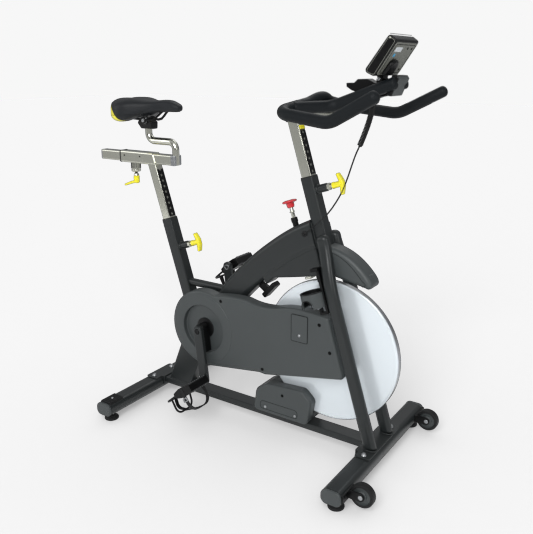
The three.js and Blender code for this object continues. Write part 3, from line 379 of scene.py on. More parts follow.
def route(points, step=6.0):
    """A line with round bends; each point is (x, y, z, radius)."""
    out = [Vector(points[0][:3])]
    for i in range(1, len(points) - 1):
        here = Vector(points[i][:3])
        r = points[i][3] if len(points[i]) > 3 else 0
        if r <= 0:
            out.append(here)
            continue
        back = (Vector(points[i - 1][:3]) - here).normalized()
        ahead = (Vector(points[i + 1][:3]) - here).normalized()
        half = back.angle(ahead) / 2
        reach = r / math.tan(half)
        middle = here + (back + ahead).normalized() * (r / math.sin(half))
        start = here + back * reach - middle
        end = here + ahead * reach - middle
        turn = start.angle(end)
        axis = start.cross(end).normalized()
        count = max(4, int(math.degrees(turn) / step) + 1)
        for k in range(count + 1):
            out.append(middle + Matrix.Rotation(turn * k / count, 3, axis) @ start)
    out.append(Vector(points[-1][:3]))
    return out


def curve_through(points, per=12):
    """Centripetal Catmull-Rom through the points."""
    pts = [Vector(p) for p in points]
    pts = [pts[0] * 2 - pts[1]] + pts + [pts[-1] * 2 - pts[-2]]
    out = []
    for i in range(1, len(pts) - 2):
        p0, p1, p2, p3 = pts[i - 1:i + 3]
        t1 = (p1 - p0).length ** 0.5
        t2 = t1 + (p2 - p1).length ** 0.5
        t3 = t2 + (p3 - p2).length ** 0.5
        for k in range(per):
            t = t1 + (t2 - t1) * k / per
            a1 = p0 * ((t1 - t) / t1) + p1 * (t / t1)
            a2 = p1 * ((t2 - t) / (t2 - t1)) + p2 * ((t - t1) / (t2 - t1))
            a3 = p2 * ((t3 - t) / (t3 - t2)) + p3 * ((t - t2) / (t3 - t2))
            b1 = a1 * ((t2 - t) / t2) + a2 * (t / t2)
            b2 = a2 * ((t3 - t) / (t3 - t1)) + a3 * ((t - t1) / (t3 - t1))
            out.append(b1 * ((t2 - t) / (t2 - t1)) + b2 * ((t - t1) / (t2 - t1)))
    return out + [pts[-2]]


def frames(line, side=(0, 1, 0)):
    """A side and an up direction at each point of a line, turned as little as possible."""
    ways = []
    for i in range(len(line)):
        ways.append((line[min(i + 1, len(line) - 1)] - line[max(i - 1, 0)]).normalized())
    sideways = Vector(side)
    out = []
    for way in ways:
        sideways = (sideways - way * sideways.dot(way)).normalized()
        out.append((sideways.copy(), way.cross(sideways).normalized(), way))
    return out


def sweep(line, section, sizes=None, side=(0, 1, 0), closed=False):
    """A section carried along a line; section points are (sideways, upwards)."""
    line = [Vector(p) for p in line]
    rings = []
    for i, (one, two, _) in enumerate(frames(line, side)):
        s = sizes[i] if sizes else 1.0
        rings.append([line[i] + one * (a * s) + two * (b * s) for a, b in section])
    return skin(rings, closed)


def domed(line, r, flat=1.0):
    """The line with round ends added, and the section's size at each of its points."""
    line = [Vector(p) for p in line]
    first, last = (line[0] - line[1]).normalized(), (line[-1] - line[-2]).normalized()
    steps = [math.radians(a) for a in (86, 70, 52, 34, 16)]
    front = [line[0] + first * (r * flat * math.sin(a)) for a in steps]
    back = [line[-1] + last * (r * flat * math.sin(a)) for a in reversed(steps)]
    small = [math.cos(a) for a in steps]
    return front + line + back, small + [1.0] * len(line) + list(reversed(small))


def rod(start, end, r, sides=32, r2=None):
    long = (Vector(end) - Vector(start)).length
    return lathe([(0, 0), (r, 0), (r if r2 is None else r2, long), (0, long)], aimed(start, end), sides)


def groove(points, r=0.7):
    """A thin closed line along the points."""
    return sweep(points + points[:1], ring2(r, sides=8))


def chop(bm, point, away):
    """Takes off what lies on the far side of a plane and closes the cut."""
    geometry = bm.verts[:] + bm.edges[:] + bm.faces[:]
    cut = bmesh.ops.bisect_plane(bm, geom=geometry, plane_co=point, plane_no=away, clear_outer=True)
    edges = [e for e in cut["geom_cut"] if isinstance(e, bmesh.types.BMEdge)]
    bmesh.ops.contextual_create(bm, geom=edges)
    return bm


def merge(*parts):
    """Several meshes as one."""
    whole = bmesh.new()
    for part in parts:
        mesh = bpy.data.meshes.new("part")
        part.to_mesh(mesh)
        whole.from_mesh(mesh)
        bpy.data.meshes.remove(mesh)
    return whole


def mirror(bm):
    """The same piece on the other side of the bike."""
    other = bm.copy()
    other.transform(Matrix.Scale(-1, 4, (0, 1, 0)))
    bmesh.ops.reverse_faces(other, faces=other.faces)
    return other


def moved(bm, place):
    other = bm.copy()
    other.transform(place)
    return other


def dress(obj, look, bevel=0.0, angle=32, segments=2):
    material = LOOKS[look] if isinstance(look, str) else look
    if obj.data.materials:
        obj.data.materials.clear()
    obj.data.materials.append(material)
    if bevel:
        edge = obj.modifiers.new("edge", "BEVEL")
        edge.width = bevel * 0.001
        edge.segments = segments
        edge.limit_method = "ANGLE"
        edge.angle_limit = math.radians(angle)
        edge.harden_normals = False
    obj.modifiers.new("shade", "WEIGHTED_NORMAL")


def piece(name, bm, look, body, nodes=(), bevel=0.0, angle=32):
    """Puts a mesh drawn in millimetres into the scene as a piece of the bike."""
    bmesh.ops.recalc_face_normals(bm, faces=bm.faces)
    bm.transform(TO_ROW)
    for face in bm.faces:
        face.smooth = True
    mesh = bpy.data.meshes.new(name)
    bm.to_mesh(mesh)
    bm.free()
    obj = bpy.data.objects.new(name, mesh)
    scene.collection.objects.link(obj)
    dress(obj, look, bevel, angle)
    if nodes:
        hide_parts(*([nodes] if isinstance(nodes, str) else nodes))
    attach(obj, body)
    return obj


def keep(node, look, bevel=0.8, angle=28):
    """A CAD node that stays shown, with its edges rounded."""
    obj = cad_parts[node]
    for polygon in obj.data.polygons:
        polygon.use_smooth = True
    weld = obj.modifiers.new("weld", "WELD")
    weld.merge_threshold = 0.00002
    flat = obj.modifiers.new("flat", "DECIMATE")
    flat.decimate_type = "DISSOLVE"
    flat.angle_limit = math.radians(1.0)
    dress(obj, look, bevel, angle)


# ---- the lead from the console: a curly stretch, then plain cable to the grommet on the beam -----
LEAD = [(548, -12, 1066), (547, -13, 1045), (541, -17, 1012), (531, -21, 978), (520, -25, 946)]
CABLE = [(519.6, -25.1, 945), (513, -28, 928), (504, -32, 898), (494, -36, 862), (480, -40, 822),
         (462, -43, 788), (440, -44, 757), (412, -44, 729), (388, -44, 707), (368, -45, 690),
         (358.6, -43, 685), (358, -38.2, 684.5)]
WIRE_R = 1.5
CURL_R = 5.9
CURL_PITCH = 3.7
TURN_POINTS = 14
GROMMET = (358, 684.5)


def lengths(line):
    return [(b - a).length for a, b in zip(line, line[1:])]


def curly():
    """The helix around the curly stretch's own line, growing out of the line at both ends."""
    spine = curve_through(LEAD, 40)
    ways = frames(spine, (1, 0, 0))
    along = [0.0]
    for step in lengths(spine):
        along.append(along[-1] + step)
    total = along[-1]
    count = int(total / CURL_PITCH * TURN_POINTS)
    out, i = [], 0
    for k in range(count + 1):
        s = total * k / count
        while i < len(spine) - 2 and along[i + 1] < s:
            i += 1
        t = (s - along[i]) / max(along[i + 1] - along[i], 1e-9)
        middle = spine[i].lerp(spine[i + 1], min(t, 1))
        swell = min(1.0, s / 5, (total - s) / 5)
        r = CURL_R * math.sin(swell * math.pi / 2)
        a = 2 * math.pi * k / TURN_POINTS
        one, two, _ = ways[i]
        out.append(middle + one * (r * math.cos(a)) + two * (r * math.sin(a)))
    return out


def add_lead():
    line = curly() + curve_through(CABLE, 6)[1:]
    wire = sweep(line, ring2(WIRE_R, sides=10), side=(1, 0, 0))
    wire.transform(TO_ROW)
    for face in wire.faces:
        face.smooth = True
    mesh = bpy.data.meshes.new("console_lead")
    wire.to_mesh(mesh)
    lead = bpy.data.objects.new("console_lead", mesh)
    scene.collection.objects.link(lead)
    dress(lead, "rubber")
    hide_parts("lead_curl", "lead_cable")
    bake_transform(lead)
    gland = [(0, 12), (5.0, 12), (5.6, 6), (4.6, 2), (3.2, -5), (2.3, -10), (1.4, -10), (0, -10)]
    top = lathe(gland, Matrix.Translation((LEAD[0][0], LEAD[0][1], LEAD[0][2] + 5)), 32)
    gland_piece = piece("console_gland", top, "rubber", "handlebar_post")
    y = -31
    boot = [(0, 0), (9, 0), (9, 2.2), (6.6, 3.4), (4.6, 3.6), (3.6, 5.2), (2.4, 7.4), (1.4, 7.4), (0, 7.4)]
    seal = lathe(boot, across(GROMMET[0], GROMMET[1], y) @ Matrix.Rotation(math.pi, 4, "X"), 48)
    seal_piece = piece("lead_grommet", seal, "rubber", "frame", "cable_grommet", 0.3)


add_lead()


# ---- base ----------------------------------------------------------------------------------------
REAR_X, FRONT_X = -257, 608
STAB_W, STAB_H, STAB_Z, STAB_END, STAB_CORNER = 60, 42, 46, 288, 17
FOOT_Y = 263
RIB_Y, RIB_STEP, SCREW_RIB = 232, 7.6, 3


def add_base():
    section = [(a, b + STAB_Z) for a, b in box2(STAB_W, STAB_H, STAB_CORNER, 10)]
    for name, x in (("rear", REAR_X), ("front", FRONT_X)):
        here = [Vector((x + a, b)) for a, b in section]
        piece(f"{name}_stabiliser_tube", plate([here], -STAB_END, STAB_END, 0.6), "paint", "frame",
              f"{name}_stabiliser")
        for side, s in SIDES:
            grown = [Vector((x + a * 1.015, STAB_Z + (b - STAB_Z) * 1.02)) for a, b in section]
            lo, hi = sorted((s * (STAB_END + 0.3), s * (STAB_END + 10.3)))
            cap = plate([grown], lo, hi, 3.2, rounds=6)
            if name == "rear":
                piece(f"rear_{side}_cap", cap, "plastic", "frame", f"rear_{side}_end_cap")
                add_tread(x, side, s)
            else:
                add_wheel_fork(cap, side, s)
    keep("base_rail", "paint", 1.2)
    for end, x, half in (("rear", REAR_X, 46), ("front", FRONT_X, 96)):
        keep(f"{end}_mount_plate", "paint", 1.4)
        for side, s in SIDES:
            profile = [(0, 0), (8.4, 0), (8.4, 1.4), (6.8, 1.6), (6.4, 4.6), (5.4, 6.2), (2.6, 7.0), (2.6, 5),
                       (0, 5)]
            bolt = lathe(profile, Matrix.Translation((x, s * half, STAB_Z + STAB_H / 2 + 4.3)), 32)
            piece(f"{end}_{side}_plate_bolt", bolt, "steel", "frame")
    pad = [(0, 0), (21.5, 0), (23, 1.2), (23, 5), (22, 6.4), (17, 9.5), (15, 12), (9, 13), (5.5, 13.4),
           (5.5, 37), (0, 37)]
    for end, x in (("rear", REAR_X), ("front", FRONT_X)):
        for side, s in SIDES:
            node = f"{end}_{side}_foot"
            place = Matrix.Translation((x, s * FOOT_Y, 0))
            base = lathe(pad, place, 64)
            nut = plate([hexagon(11, 1)], 17, 24, 0.8, place)
            piece(f"{node}_pad", base, "rubber", node, node, 0.4)
            piece(f"{node}_nut", nut, "steel", node)


def add_tread(x, side, s):
    """The ridged block over the end of the rear stabiliser, with its screw."""
    lo, hi = sorted((s * 226, s * 286))
    top = STAB_Z + STAB_H / 2
    outline = [Vector((x + a, b)) for a, b in
               arcs([(-26, top - 9, 5), (26, top - 9, 5), (20, top + 4.2, 4), (-20, top + 4.2, 4)])]
    body = [plate([outline], lo, hi, 1.6)]
    for k in range(7):
        y = s * (RIB_Y + k * RIB_STEP)
        if k == SCREW_RIB:
            continue
        rib = arcs([(-17, top + 3.6, 1), (17, top + 3.6, 1), (15.5, top + 5.6, 0.8), (-15.5, top + 5.6, 0.8)],
                   3)
        body.append(plate([[Vector((x + a, b)) for a, b in rib]], y - 1.6, y + 1.6, 0.6))
    piece(f"rear_{side}_tread", merge(*body), "rubber", "frame")
    screw = lathe([(0, 0), (4.6, 0), (4.6, 0.8), (3.4, 2.2), (1.4, 2.5), (1.4, 1.2), (0, 1.2)],
                  Matrix.Translation((x, s * (RIB_Y + SCREW_RIB * RIB_STEP), top + 4.0)), 32)
    piece(f"rear_{side}_tread_screw", screw, "steel", "frame")


WHEEL_X, WHEEL_Y, WHEEL_Z = 676, 240, 50


def add_wheel_fork(cap, side, s):
    """End cap of the front stabiliser with the fork of the transport wheel, and the wheel."""
    face = FRONT_X + STAB_W / 2 + 0.3
    shape = arcs([(face - 4, 37, 3), (WHEEL_X + 4, 37, 12), (WHEEL_X + 14, 50, 12), (WHEEL_X + 2, 64, 12),
                  (face - 4, 60, 3)])
    arms = [plate([shape], *sorted((s * a, s * b)), 1.3) for a, b in ((223.2, 227.6), (252.4, 256.8))]
    web = plate([arcs([(face - 3, 36, 2), (face + 4.5, 38, 2), (face + 4.5, 60, 2), (face - 3, 62, 2)])],
                *sorted((s * 222, s * 292)), 1.4)
    piece(f"front_{side}_cap", cap, "plastic", "frame", f"front_{side}_end_cap")
    piece(f"front_{side}_wheel_fork", merge(*arms, web), "black", "frame")
    bolt = [(0, -18.2), (6, -18.2), (6.6, -17.4), (6.6, -15.6), (4, -15.2), (4, 15.2), (6.6, 15.6),
            (6.6, 17.4), (6, 18.2), (0, 18.2)]
    place = across(WHEEL_X, WHEEL_Z, s * WHEEL_Y)
    piece(f"front_{side}_wheel_bolt", lathe(bolt, place, 32), "steel", "frame", (), 0.3)
    tyre = [(26, -11), (30, -11), (33, -9.6), (34, -7), (34, 7), (33, 9.6), (30, 11), (26, 11), (26, -11)]
    hub = [(4.6, -11), (12, -11), (14, -9.5), (15, -6.5), (24, -6.0), (26.2, -10.6), (26.2, 10.6), (24, 6.0),
           (15, 6.5), (14, 9.5), (12, 11), (4.6, 11), (4.6, -11)]
    body = f"{side}_transport_wheel"
    piece(f"{side}_wheel_tyre", lathe(tyre, place, 96), "rubber", body, body, 0.3)
    piece(f"{side}_wheel_hub", lathe(hub, place, 96), "plastic", body, (), 0.3)


add_base()


# ---- frame ---------------------------------------------------------------------------------------
SEAT_TOP, SEAT_PIN = (-192, 657), -99
HEAD_TOP, HEAD_PIN = (352, 846), -40
TUBE, POST = 38, 32
BEAM_LINE = [(50, 0, 392), (84, 0, 446), (175, 0, 540), (257, 0, 608), (325, 0, 655), (392, 0, 690)]
LEG_AXIS = (489, 460)
LEG_Y = 58


def leg_x(z):
    return LEG_AXIS[0] + (LEG_AXIS[1] - z) * SLOPE


def pin_place(top, pin_at):
    """Place of a pull pin's turned parts: out of the front of a leaning tube."""
    return leaning(*top) @ Matrix.Translation((0, 0, pin_at)) @ Matrix.Rotation(math.pi / 2, 4, "Y")


def weld(line, r=1.9, closed=False):
    """A bead along a joint, with the ripple of its passes."""
    line = [Vector(p) for p in line]
    fine = []
    for a, b in zip(line, line[1:]):
        count = max(1, int((b - a).length / 1.1))
        fine += [a.lerp(b, k / count) for k in range(count)]
    fine.append(line[-1])
    sizes = [1 + 0.16 * math.sin(k * 2.1) for k in range(len(fine))]
    return sweep(fine, ring2(r, sides=8), sizes, closed=closed)


def add_outer_tube(node, length, top, pin_at):
    """The outer tube of a post, with the boss of its pull pin and the bush in its mouth."""
    here = leaning(*top)
    face = TUBE / 2
    tube = plate([box2(TUBE, TUBE, 4.5, 6), box2(POST + 1, POST + 1, 2, 3)], -length, 0, 0.5, here)
    profile = [(0, face - 1), (15, face - 1), (15, face + 3), (14, face + 4.4), (11.2, face + 5),
               (11.2, face + 32), (10.2, face + 33), (0, face + 33)]
    extra = [tube, lathe(profile, pin_place(top, pin_at), 48)]
    if node == "seat_tube":
        brace = rod((-126, 0, 447), (104, 0, 447), 12, 32)
        chop(brace, here @ Vector((face - 1, 0, 0)), here.to_3x3() @ Vector((-1, 0, 0)))
        extra.append(brace)
    piece(node + "_skin", merge(*extra), "paint", "frame", node, 0.5)
    nut = plate([hexagon(9.8, 0.8), ring2(6.2, sides=24)], face + 33.2, face + 44, 0.8,
                pin_place(top, pin_at))
    piece(node + "_pin_nut", nut, "chrome", "frame")
    sleeve = plate([box2(TUBE - 1.0, TUBE - 1.0, 4, 6), box2(POST + 0.6, POST + 0.6, 1.2, 4)], -3, 2.6, 0.9,
                   here)
    piece(node + "_bush", sleeve, "black", "frame")


def behind_head(bm):
    here = leaning(*HEAD_TOP)
    return chop(bm, here @ Vector((-TUBE / 2 - 0.3, 0, 0)), here.to_3x3() @ Vector((1, 0, 0)))


def add_beam():
    line = curve_through(BEAM_LINE)
    beam = behind_head(sweep(line, box2(62, 84, 17, 9)))
    piece("beam_skin", beam, "paint", "frame", "main_beam", 0.6)
    gusset = [Vector((222, 505)), Vector((250, 531))] + bow((250, 531), (330, 545), (421, 567)) \
        + [Vector((386, 672)), Vector((330, 660)), Vector((203, 528))]
    web = behind_head(plate([gusset], -29, 29, 5.0, rounds=5))
    piece("gusset_skin", web, "paint", "frame", "beam_gusset", 0.4)
    for name, side in SIDES:
        under = []
        for (one, two, _), p in zip(frames(line), line):
            under.append(p + one * (side * 28.6) - two * (41.2 if two.z > 0 else -41.2))
        under = [p for p in under if 236 < p.x < 398]
        piece(f"gusset_{name}_weld", weld(under, 1.5), "paint", "frame")
    here = leaning(*HEAD_TOP)
    for name, side in SIDES:
        seam = [here @ Vector((-TUBE / 2 - 0.2, side * 19.6, w)) for w in range(-206, -122, 6)]
        piece(f"head_{name}_weld", weld(seam, 2.0), "paint", "frame")


def leg_line(s):
    top = TUBE / 2 + 15.5
    stations = [(676, top), (658, top), (628, top + 5), (585, 50), (540, 56.5)]
    stations += [(z, LEG_Y) for z in (490, 380, 230, 43)]
    return curve_through([(leg_x(z), s * y, z) for z, y in stations], 10)


def add_legs():
    for side, s in SIDES:
        line = leg_line(s)
        way = (line[0] - line[1]).normalized()
        head = [(86, 0.12), (74, 0.34), (60, 0.56), (44, 0.76), (26, 0.92), (10, 0.99)]
        caps = [line[0] + way * (15 * math.sin(math.radians(a))) for a, _ in head]
        sizes = [k for _, k in head] + [1.0] * len(line)
        leg = sweep(caps + line, box2(30, 38, 14.0, 12), sizes)
        chop(leg, Vector((0, 0, 73)), Vector((0, 0, -1)))
        piece(f"{side}_leg_skin", leg, "paint", "frame", f"{side}_fork_leg")
        foot = [Vector((leg_x(73.6) + b * 1.03, s * LEG_Y + a * 1.03, 74.2))
                for a, b in box2(30, 38, 14.0, 10)]
        piece(f"{side}_leg_weld", weld(foot + foot[:1], 2.2), "paint", "frame")
        tube = leaning(*HEAD_TOP)
        near = [tube @ Vector((b, s * 19.4, w)) for b, w in ((17, -140), (17, -170), (17, -200), (17, -240))]
        piece(f"{side}_leg_head_weld", weld(near, 1.8), "paint", "frame")


def add_rear_leg():
    outline = arcs([(-204, 68, 3), (-108, 68, 3), (-10, 290, 12), (-96, 330, 12)])
    piece("rear_leg_skin", plate([outline], -22, 22, 3.2), "paint", "frame", "rear_leg")
    foot = [Vector((x, y, 68.8)) for x, y in ((-204, -22), (-108, -22), (-108, 22), (-204, 22), (-204, -22))]
    piece("rear_leg_weld", weld(foot, 2.2), "paint", "frame")


add_outer_tube("seat_tube", 335, SEAT_TOP, SEAT_PIN)
add_outer_tube("head_tube", 268, HEAD_TOP, HEAD_PIN)
add_beam()
add_legs()
add_rear_leg()
keep("bottom_bracket_shell", "steel", 0.5)
keep("flywheel_stays", "steel", 1.0)


def hood(d):
    """The cowl's arched outline, drawn in by d."""
    top = bow((418 + d, 658 - d), (500 - d / 2, 656 - 1.2 * d), (562 - d, 586 - d), 20)
    return ([Vector((418 + d, 658 - d))] + top
            + bow((562 - d, 586 - d), (588 - 1.5 * d, 556 + d / 2), (564 - d, 549 + d / 2), 12)
            + bow((564 - d, 549 + d / 2), (520, 558 + d / 2), (455, 569 + d / 2), 12))


def carve(bm, *tools):
    """Cuts meshes out of a mesh."""
    def holder(part, name):
        mesh = bpy.data.meshes.new(name)
        part.to_mesh(mesh)
        obj = bpy.data.objects.new(name, mesh)
        scene.collection.objects.link(obj)
        return obj
    body = holder(bm, "carved")
    made = [body]
    for tool in tools:
        knife = holder(tool, "knife")
        made.append(knife)
        step = body.modifiers.new("cut", "BOOLEAN")
        step.operation = "DIFFERENCE"
        step.solver = "EXACT"
        step.object = knife
    bpy.context.view_layer.update()
    mesh = bpy.data.meshes.new_from_object(body.evaluated_get(bpy.context.evaluated_depsgraph_get()))
    out = bmesh.new()
    out.from_mesh(mesh)
    bpy.data.meshes.remove(mesh)
    for obj in made:
        bpy.data.objects.remove(obj)
    return out


def add_cowl():
    outer = plate([hood(0)], -31, 31, 13, rounds=8)
    inside = arcs([(448, 500, 2), (556, 500, 2), (560, 560, 8), (548, 586, 20), (498, 632, 30),
                   (450, 620, 6)])
    room = plate([inside], -26, 26, 3)
    way = plate([box2(POST + 3, POST + 3, 3, 3)], -264, -40, 0.3, leaning(*HEAD_TOP))
    shell = carve(outer, room, way)
    piece("cowl_shell", shell, "plastic", "frame", "front_cowl")
    rim = hood(14)
    line = [Vector((a, -31.0, b)) for a, b in rim[:33]]
    for name, s in (("right", 1), ("left", -1)):
        edge = [Vector((p.x, p.y * s, p.z)) for p in line]
        piece(f"cowl_{name}_groove", sweep(edge, ring2(0.7, sides=8)), DARK, "frame")
    lip = [Vector((561, y, 586)) for y in range(-16, 17, 4)]
    piece("cowl_lip", sweep(lip, box2(6, 4, 1.6, 3), side=(1, 0, 0)), "plastic", "frame")


add_cowl()


# ---- belt guards ---------------------------------------------------------------------------------
GUARD_Y = -72


def guard_outline():
    out = [Vector((520, 274)), Vector((244, 219)), Vector((222, 221))]
    out += reversed(arc2(0, CRANK_Z, 130, 70, 278, 90))
    out += bow(out[-1], (120, 458), (172, 453), 16)
    out += bow((172, 453), (232, 437), (290, 452), 16)
    return out + bow((290, 452), (350, 472), (464, 455), 20)


def soft_corner(points, tight=25, r=10):
    """Rounds the outline's few sharp corners."""
    marked = []
    n = len(points)
    for i, p in enumerate(points):
        back = (points[i - 1] - p)
        ahead = (points[(i + 1) % n] - p)
        turn = 180 - math.degrees(back.angle(ahead))
        room = min(back.length, ahead.length)
        reach = min(r, room * 0.45 * math.tan(math.radians((180 - turn) / 2))) if turn > tight else 0
        marked.append((p.x, p.y, reach))
    return arcs(marked, 8)


def add_guards():
    outline = soft_corner(guard_outline())
    hole = ring2(85, 0, CRANK_Z, 96)
    face = plate([outline, hole], GUARD_Y, -48, 8.5, rounds=8)
    rim = plate([outline, hole], -58, -34, 0.8)
    piece("right_guard_skin", merge(face, rim), "plastic", "frame", "right_belt_guard")
    place = across(0, CRANK_Z) @ Matrix.Rotation(math.pi, 4, "X")
    cup = [(86, 60), (86, 70), (85.4, 72.2), (84, 73.4), (82.6, 73.0), (82, 71.6), (82, 60.2), (80.8, 58.4),
           (79, 58.0), (31.5, 58.0), (30, 57.2), (29.6, 55), (29.6, 40), (33, 40), (33, 54), (86, 56),
           (86, 60)]
    piece("guard_recess", lathe(cup, place, 160), "plastic", "frame")
    disc = [(11, 57.5), (33, 57.5), (34, 58.4), (34, 60.6), (33, 61.6), (22, 62.4), (11, 62.4), (11, 57.5)]
    piece("hub_disc", lathe(disc, place, 96), "black", "frame")
    step = [(84, 71), (84, 73.6), (116.2, 73.6), (117.4, 73.2), (118.4, 72.0), (119, 71), (84, 71)]
    piece("guard_ring", lathe(step, place, 160), "plastic", "frame")
    for name, x, z in (("rear", 75.5, 432), ("front", 474, 350.5), ("lower", 236, 236), ("nose", 437, 430)):
        well = lathe([(0, 1.4), (4.4, 1.4), (4.8, -0.3), (6.8, -0.5), (7.4, 0.6), (7.4, 3), (0, 3)],
                     across(x, z, GUARD_Y), 40)
        piece(f"guard_{name}_screw_rim", well, "plastic", "frame")
        screw = lathe([(0, -0.6), (5.6, -0.4), (6.2, 0.4), (6.2, 2), (0, 2)], across(x, z, GUARD_Y), 32)
        piece(f"guard_{name}_screw", screw, DARK, "frame")
    panel = arcs([(342, 361, 4), (398, 361, 4), (398, 446, 5), (342, 446, 5)])
    piece("guard_panel", plate([panel], -73.4, -71.5, 0.6), "plastic", "frame")
    piece("guard_panel_line", groove([Vector((x, -73, z)) for x, z in panel], 0.9), DARK, "frame")
    screw = lathe([(0, -0.4), (2.2, -0.4), (4.4, 0.6), (4.8, 2), (0, 2)], across(369.5, 381, -74.4), 32)
    piece("guard_panel_screw", screw, "steel", "frame")
    low = [Vector((508, 274)), Vector((244, 234))] + list(reversed(arc2(0, CRANK_Z, 112, 70, 278, 90)))
    low = soft_corner(low + bow(low[-1], (120, 398), (190, 390), 12) + [Vector((478, 386))])
    hole = ring2(30, 0, CRANK_Z, 64)
    left = plate([low, hole], 36, 60, 7, rounds=7)
    back = plate([low, hole], 34, 46, 0.8)
    piece("left_guard_skin", merge(left, back), "plastic", "frame", "left_belt_guard")


add_guards()


# ---- drive ---------------------------------------------------------------------------------------
FLY_X, FLY_Z, FLY_R = 440, 326, 222
CRANK = 170
CRANK_TURN = math.radians(7)
PEDAL_TURN = math.radians(144)


def add_drive():
    half = [(8.8, -15), (32, -15), (34, -14), (36, -12.6), (38, -11.6), (214, -11.6), (219.6, -11.0),
            (221.4, -9.6), (222, -7.6)]
    disc = half + [(r, -y) for r, y in reversed(half)] + [half[0]]
    piece("flywheel_disc", lathe(disc, across(FLY_X, FLY_Z), 256), "flywheel", "flywheel", "flywheel")
    rim = [(219, -9.4), (222.4, -7.4), (222.9, -6.6), (222.9, 6.6), (222.4, 7.4), (219, 9.4), (219, -9.4)]
    piece("flywheel_rim", lathe(rim, across(FLY_X, FLY_Z), 256), "steel", "flywheel")
    for node in ("flywheel_axle", "flywheel_pulley", "drive_pulley", "crank_axle"):
        keep(node, "steel", 0.4)
    keep("drive_belt", "rubber", 0.3)


def crank_turn(s):
    return math.pi - CRANK_TURN if s > 0 else -CRANK_TURN


def add_crank(side, s):
    turn = crank_turn(s)
    place = Matrix.Translation((0, 0, CRANK_Z)) @ Matrix.Rotation(turn, 4, "Y")
    shape = arcs([(-16.5, 17, 16), (16.5, 17, 16), (16.5, -80, 40), (15, -CRANK - 16, 14),
                  (-15, -CRANK - 16, 14), (-16.5, -80, 40)], 12)

    def y_range(a, b):
        return sorted((s * a, s * b))

    arm = plate([shape], *y_range(90, 104), 2.6, rounds=3)
    body = "crank"
    piece(f"{side}_crank_skin", moved(arm, place), "paint", body, f"{side}_crank_arm")
    # The black block behind the arm stands partly for the arm's root and partly for painted shade in the gap
    # between the arm and the guard.
    hub = arcs([(-17, 20, 15), (17, 20, 15), (17, -76, 4), (-17, -76, 4)], 10)
    piece(f"{side}_crank_root_and_painted_shade", moved(plate([hub], *y_range(63, 91), 2.0), place), "black", body)

    def out(profile, z):
        return moved(lathe(profile, outward(0, z, 0, s), 48), place)

    cover = [(0, 102), (10.5, 102), (10.5, 105.4), (9.4, 106.8), (7, 107.4), (5.4, 106.6), (0, 106.6)]
    piece(f"{side}_crank_bolt_cover", out(cover, 0), "black", body)
    ring = [(10.4, 103), (12.6, 103), (12.6, 104.6), (11.6, 105.2), (10.4, 104.8), (10.4, 103)]
    piece(f"{side}_crank_ring", out(ring, 0), "plastic", body)
    collar = [(0, 100), (10.5, 100), (10.5, 110.6), (9.5, 111.4), (6.1, 111.4), (6.1, 199), (5.2, 200),
              (0, 200)]
    piece(f"{side}_pedal_spindle", out(collar, -CRANK), "steel", body, (), 0.3)
    eye = [(6, 89), (9.6, 89), (9.6, 103.8), (8.4, 104.8), (6, 104.8), (6, 89)]
    piece(f"{side}_crank_eye", out(eye, -CRANK), "steel", body)


def add_pedal(side, s):
    turn = crank_turn(s)
    spindle = Matrix.Rotation(turn, 4, "Y") @ Vector((0, 0, -CRANK))
    place = Matrix.Translation((spindle.x, 0, CRANK_Z + spindle.z)) @ Matrix.Rotation(PEDAL_TURN, 4, "Y")
    body = f"{side}_pedal"
    y0, y1 = 113, 205
    middle = (y0 + y1) / 2
    reach = (y1 - y0) / 2 - 3

    def handed(bm):
        return moved(bm if s > 0 else mirror(bm), place)

    section = arcs([(-34, -12, 4), (-20, -15, 4), (20, -15, 4), (48, -8, 4), (48, 8, 4), (20, 15, 4),
                    (-20, 15, 4), (-34, 12, 4)], 5)
    outer = plate([section], y0, y1, 1.6)
    windows = [plate([box_at(x, middle, 17, 62, 5)], -40, 40, 0.5, FLAT) for x in (-20, 20)]
    bore = rod((0, y0 - 2, 0), (0, y0 + 89, 0), 6.6, 24)
    piece(f"{side}_pedal_body", handed(carve(outer, *windows, bore)), "black", body, f"{side}_pedal", 0.5)
    teeth = []
    for x in (-31, 45):
        for k in range(9):
            y = y0 + 10 + k * 9
            tall = 15.5 if x < 0 else 11
            teeth.append(plate([box_at(x, y, 3.4, 4.6, 1)], -tall, tall, 0.8, FLAT))
    piece(f"{side}_pedal_teeth", handed(merge(*teeth)), PEDAL_GREY, body)
    wire = ring2(2.6, sides=14)
    cage = [(36, middle - reach, 0), (100, middle - reach, 6, 22), (104, middle + reach, 6, 22),
            (36, middle + reach, 0)]
    brow = [(70, middle - reach, 2), (82, middle - reach + 6, 56, 24), (82, middle + reach - 6, 56, 24),
            (70, middle + reach, 2)]
    tongue = [(99, middle, 4), (110, middle, 40, 18), (78, middle, 58)]
    tubes = [sweep(route(bend), wire, side=(0, 0, 1)) for bend in (cage, brow)]
    tubes.append(sweep(route(tongue), box2(12, 2.6, 1)))
    piece(f"{side}_toe_cage", handed(merge(*tubes)), "black", body)
    band = [(6, middle - reach - 3, -14), (6, middle - reach - 3, 70, 32), (6, middle + reach + 3, 70, 32),
            (6, middle + reach + 3, -14)]
    strap = sweep(route(band), box2(13, 2.2, 0.9, 3), side=(1, 0, 0))
    spine = sweep([(4, middle, 69.5), (30, middle, 68), (60, middle, 62), (84, middle, 57)],
                  box2(9, 2.2, 0.8, 3))
    piece(f"{side}_toe_strap", handed(merge(strap, spine)), "rubber", body)
    loop = [box_at(6, 26, 19, 13, 2), box_at(6, 26, 13, 7, 1)]
    buckle = plate(loop, middle + reach + 4.4, middle + reach + 7.4, 0.8)
    piece(f"{side}_strap_buckle", handed(buckle), "steel", body)


add_drive()
for which, sign in SIDES:
    add_crank(which, sign)
    add_pedal(which, sign)


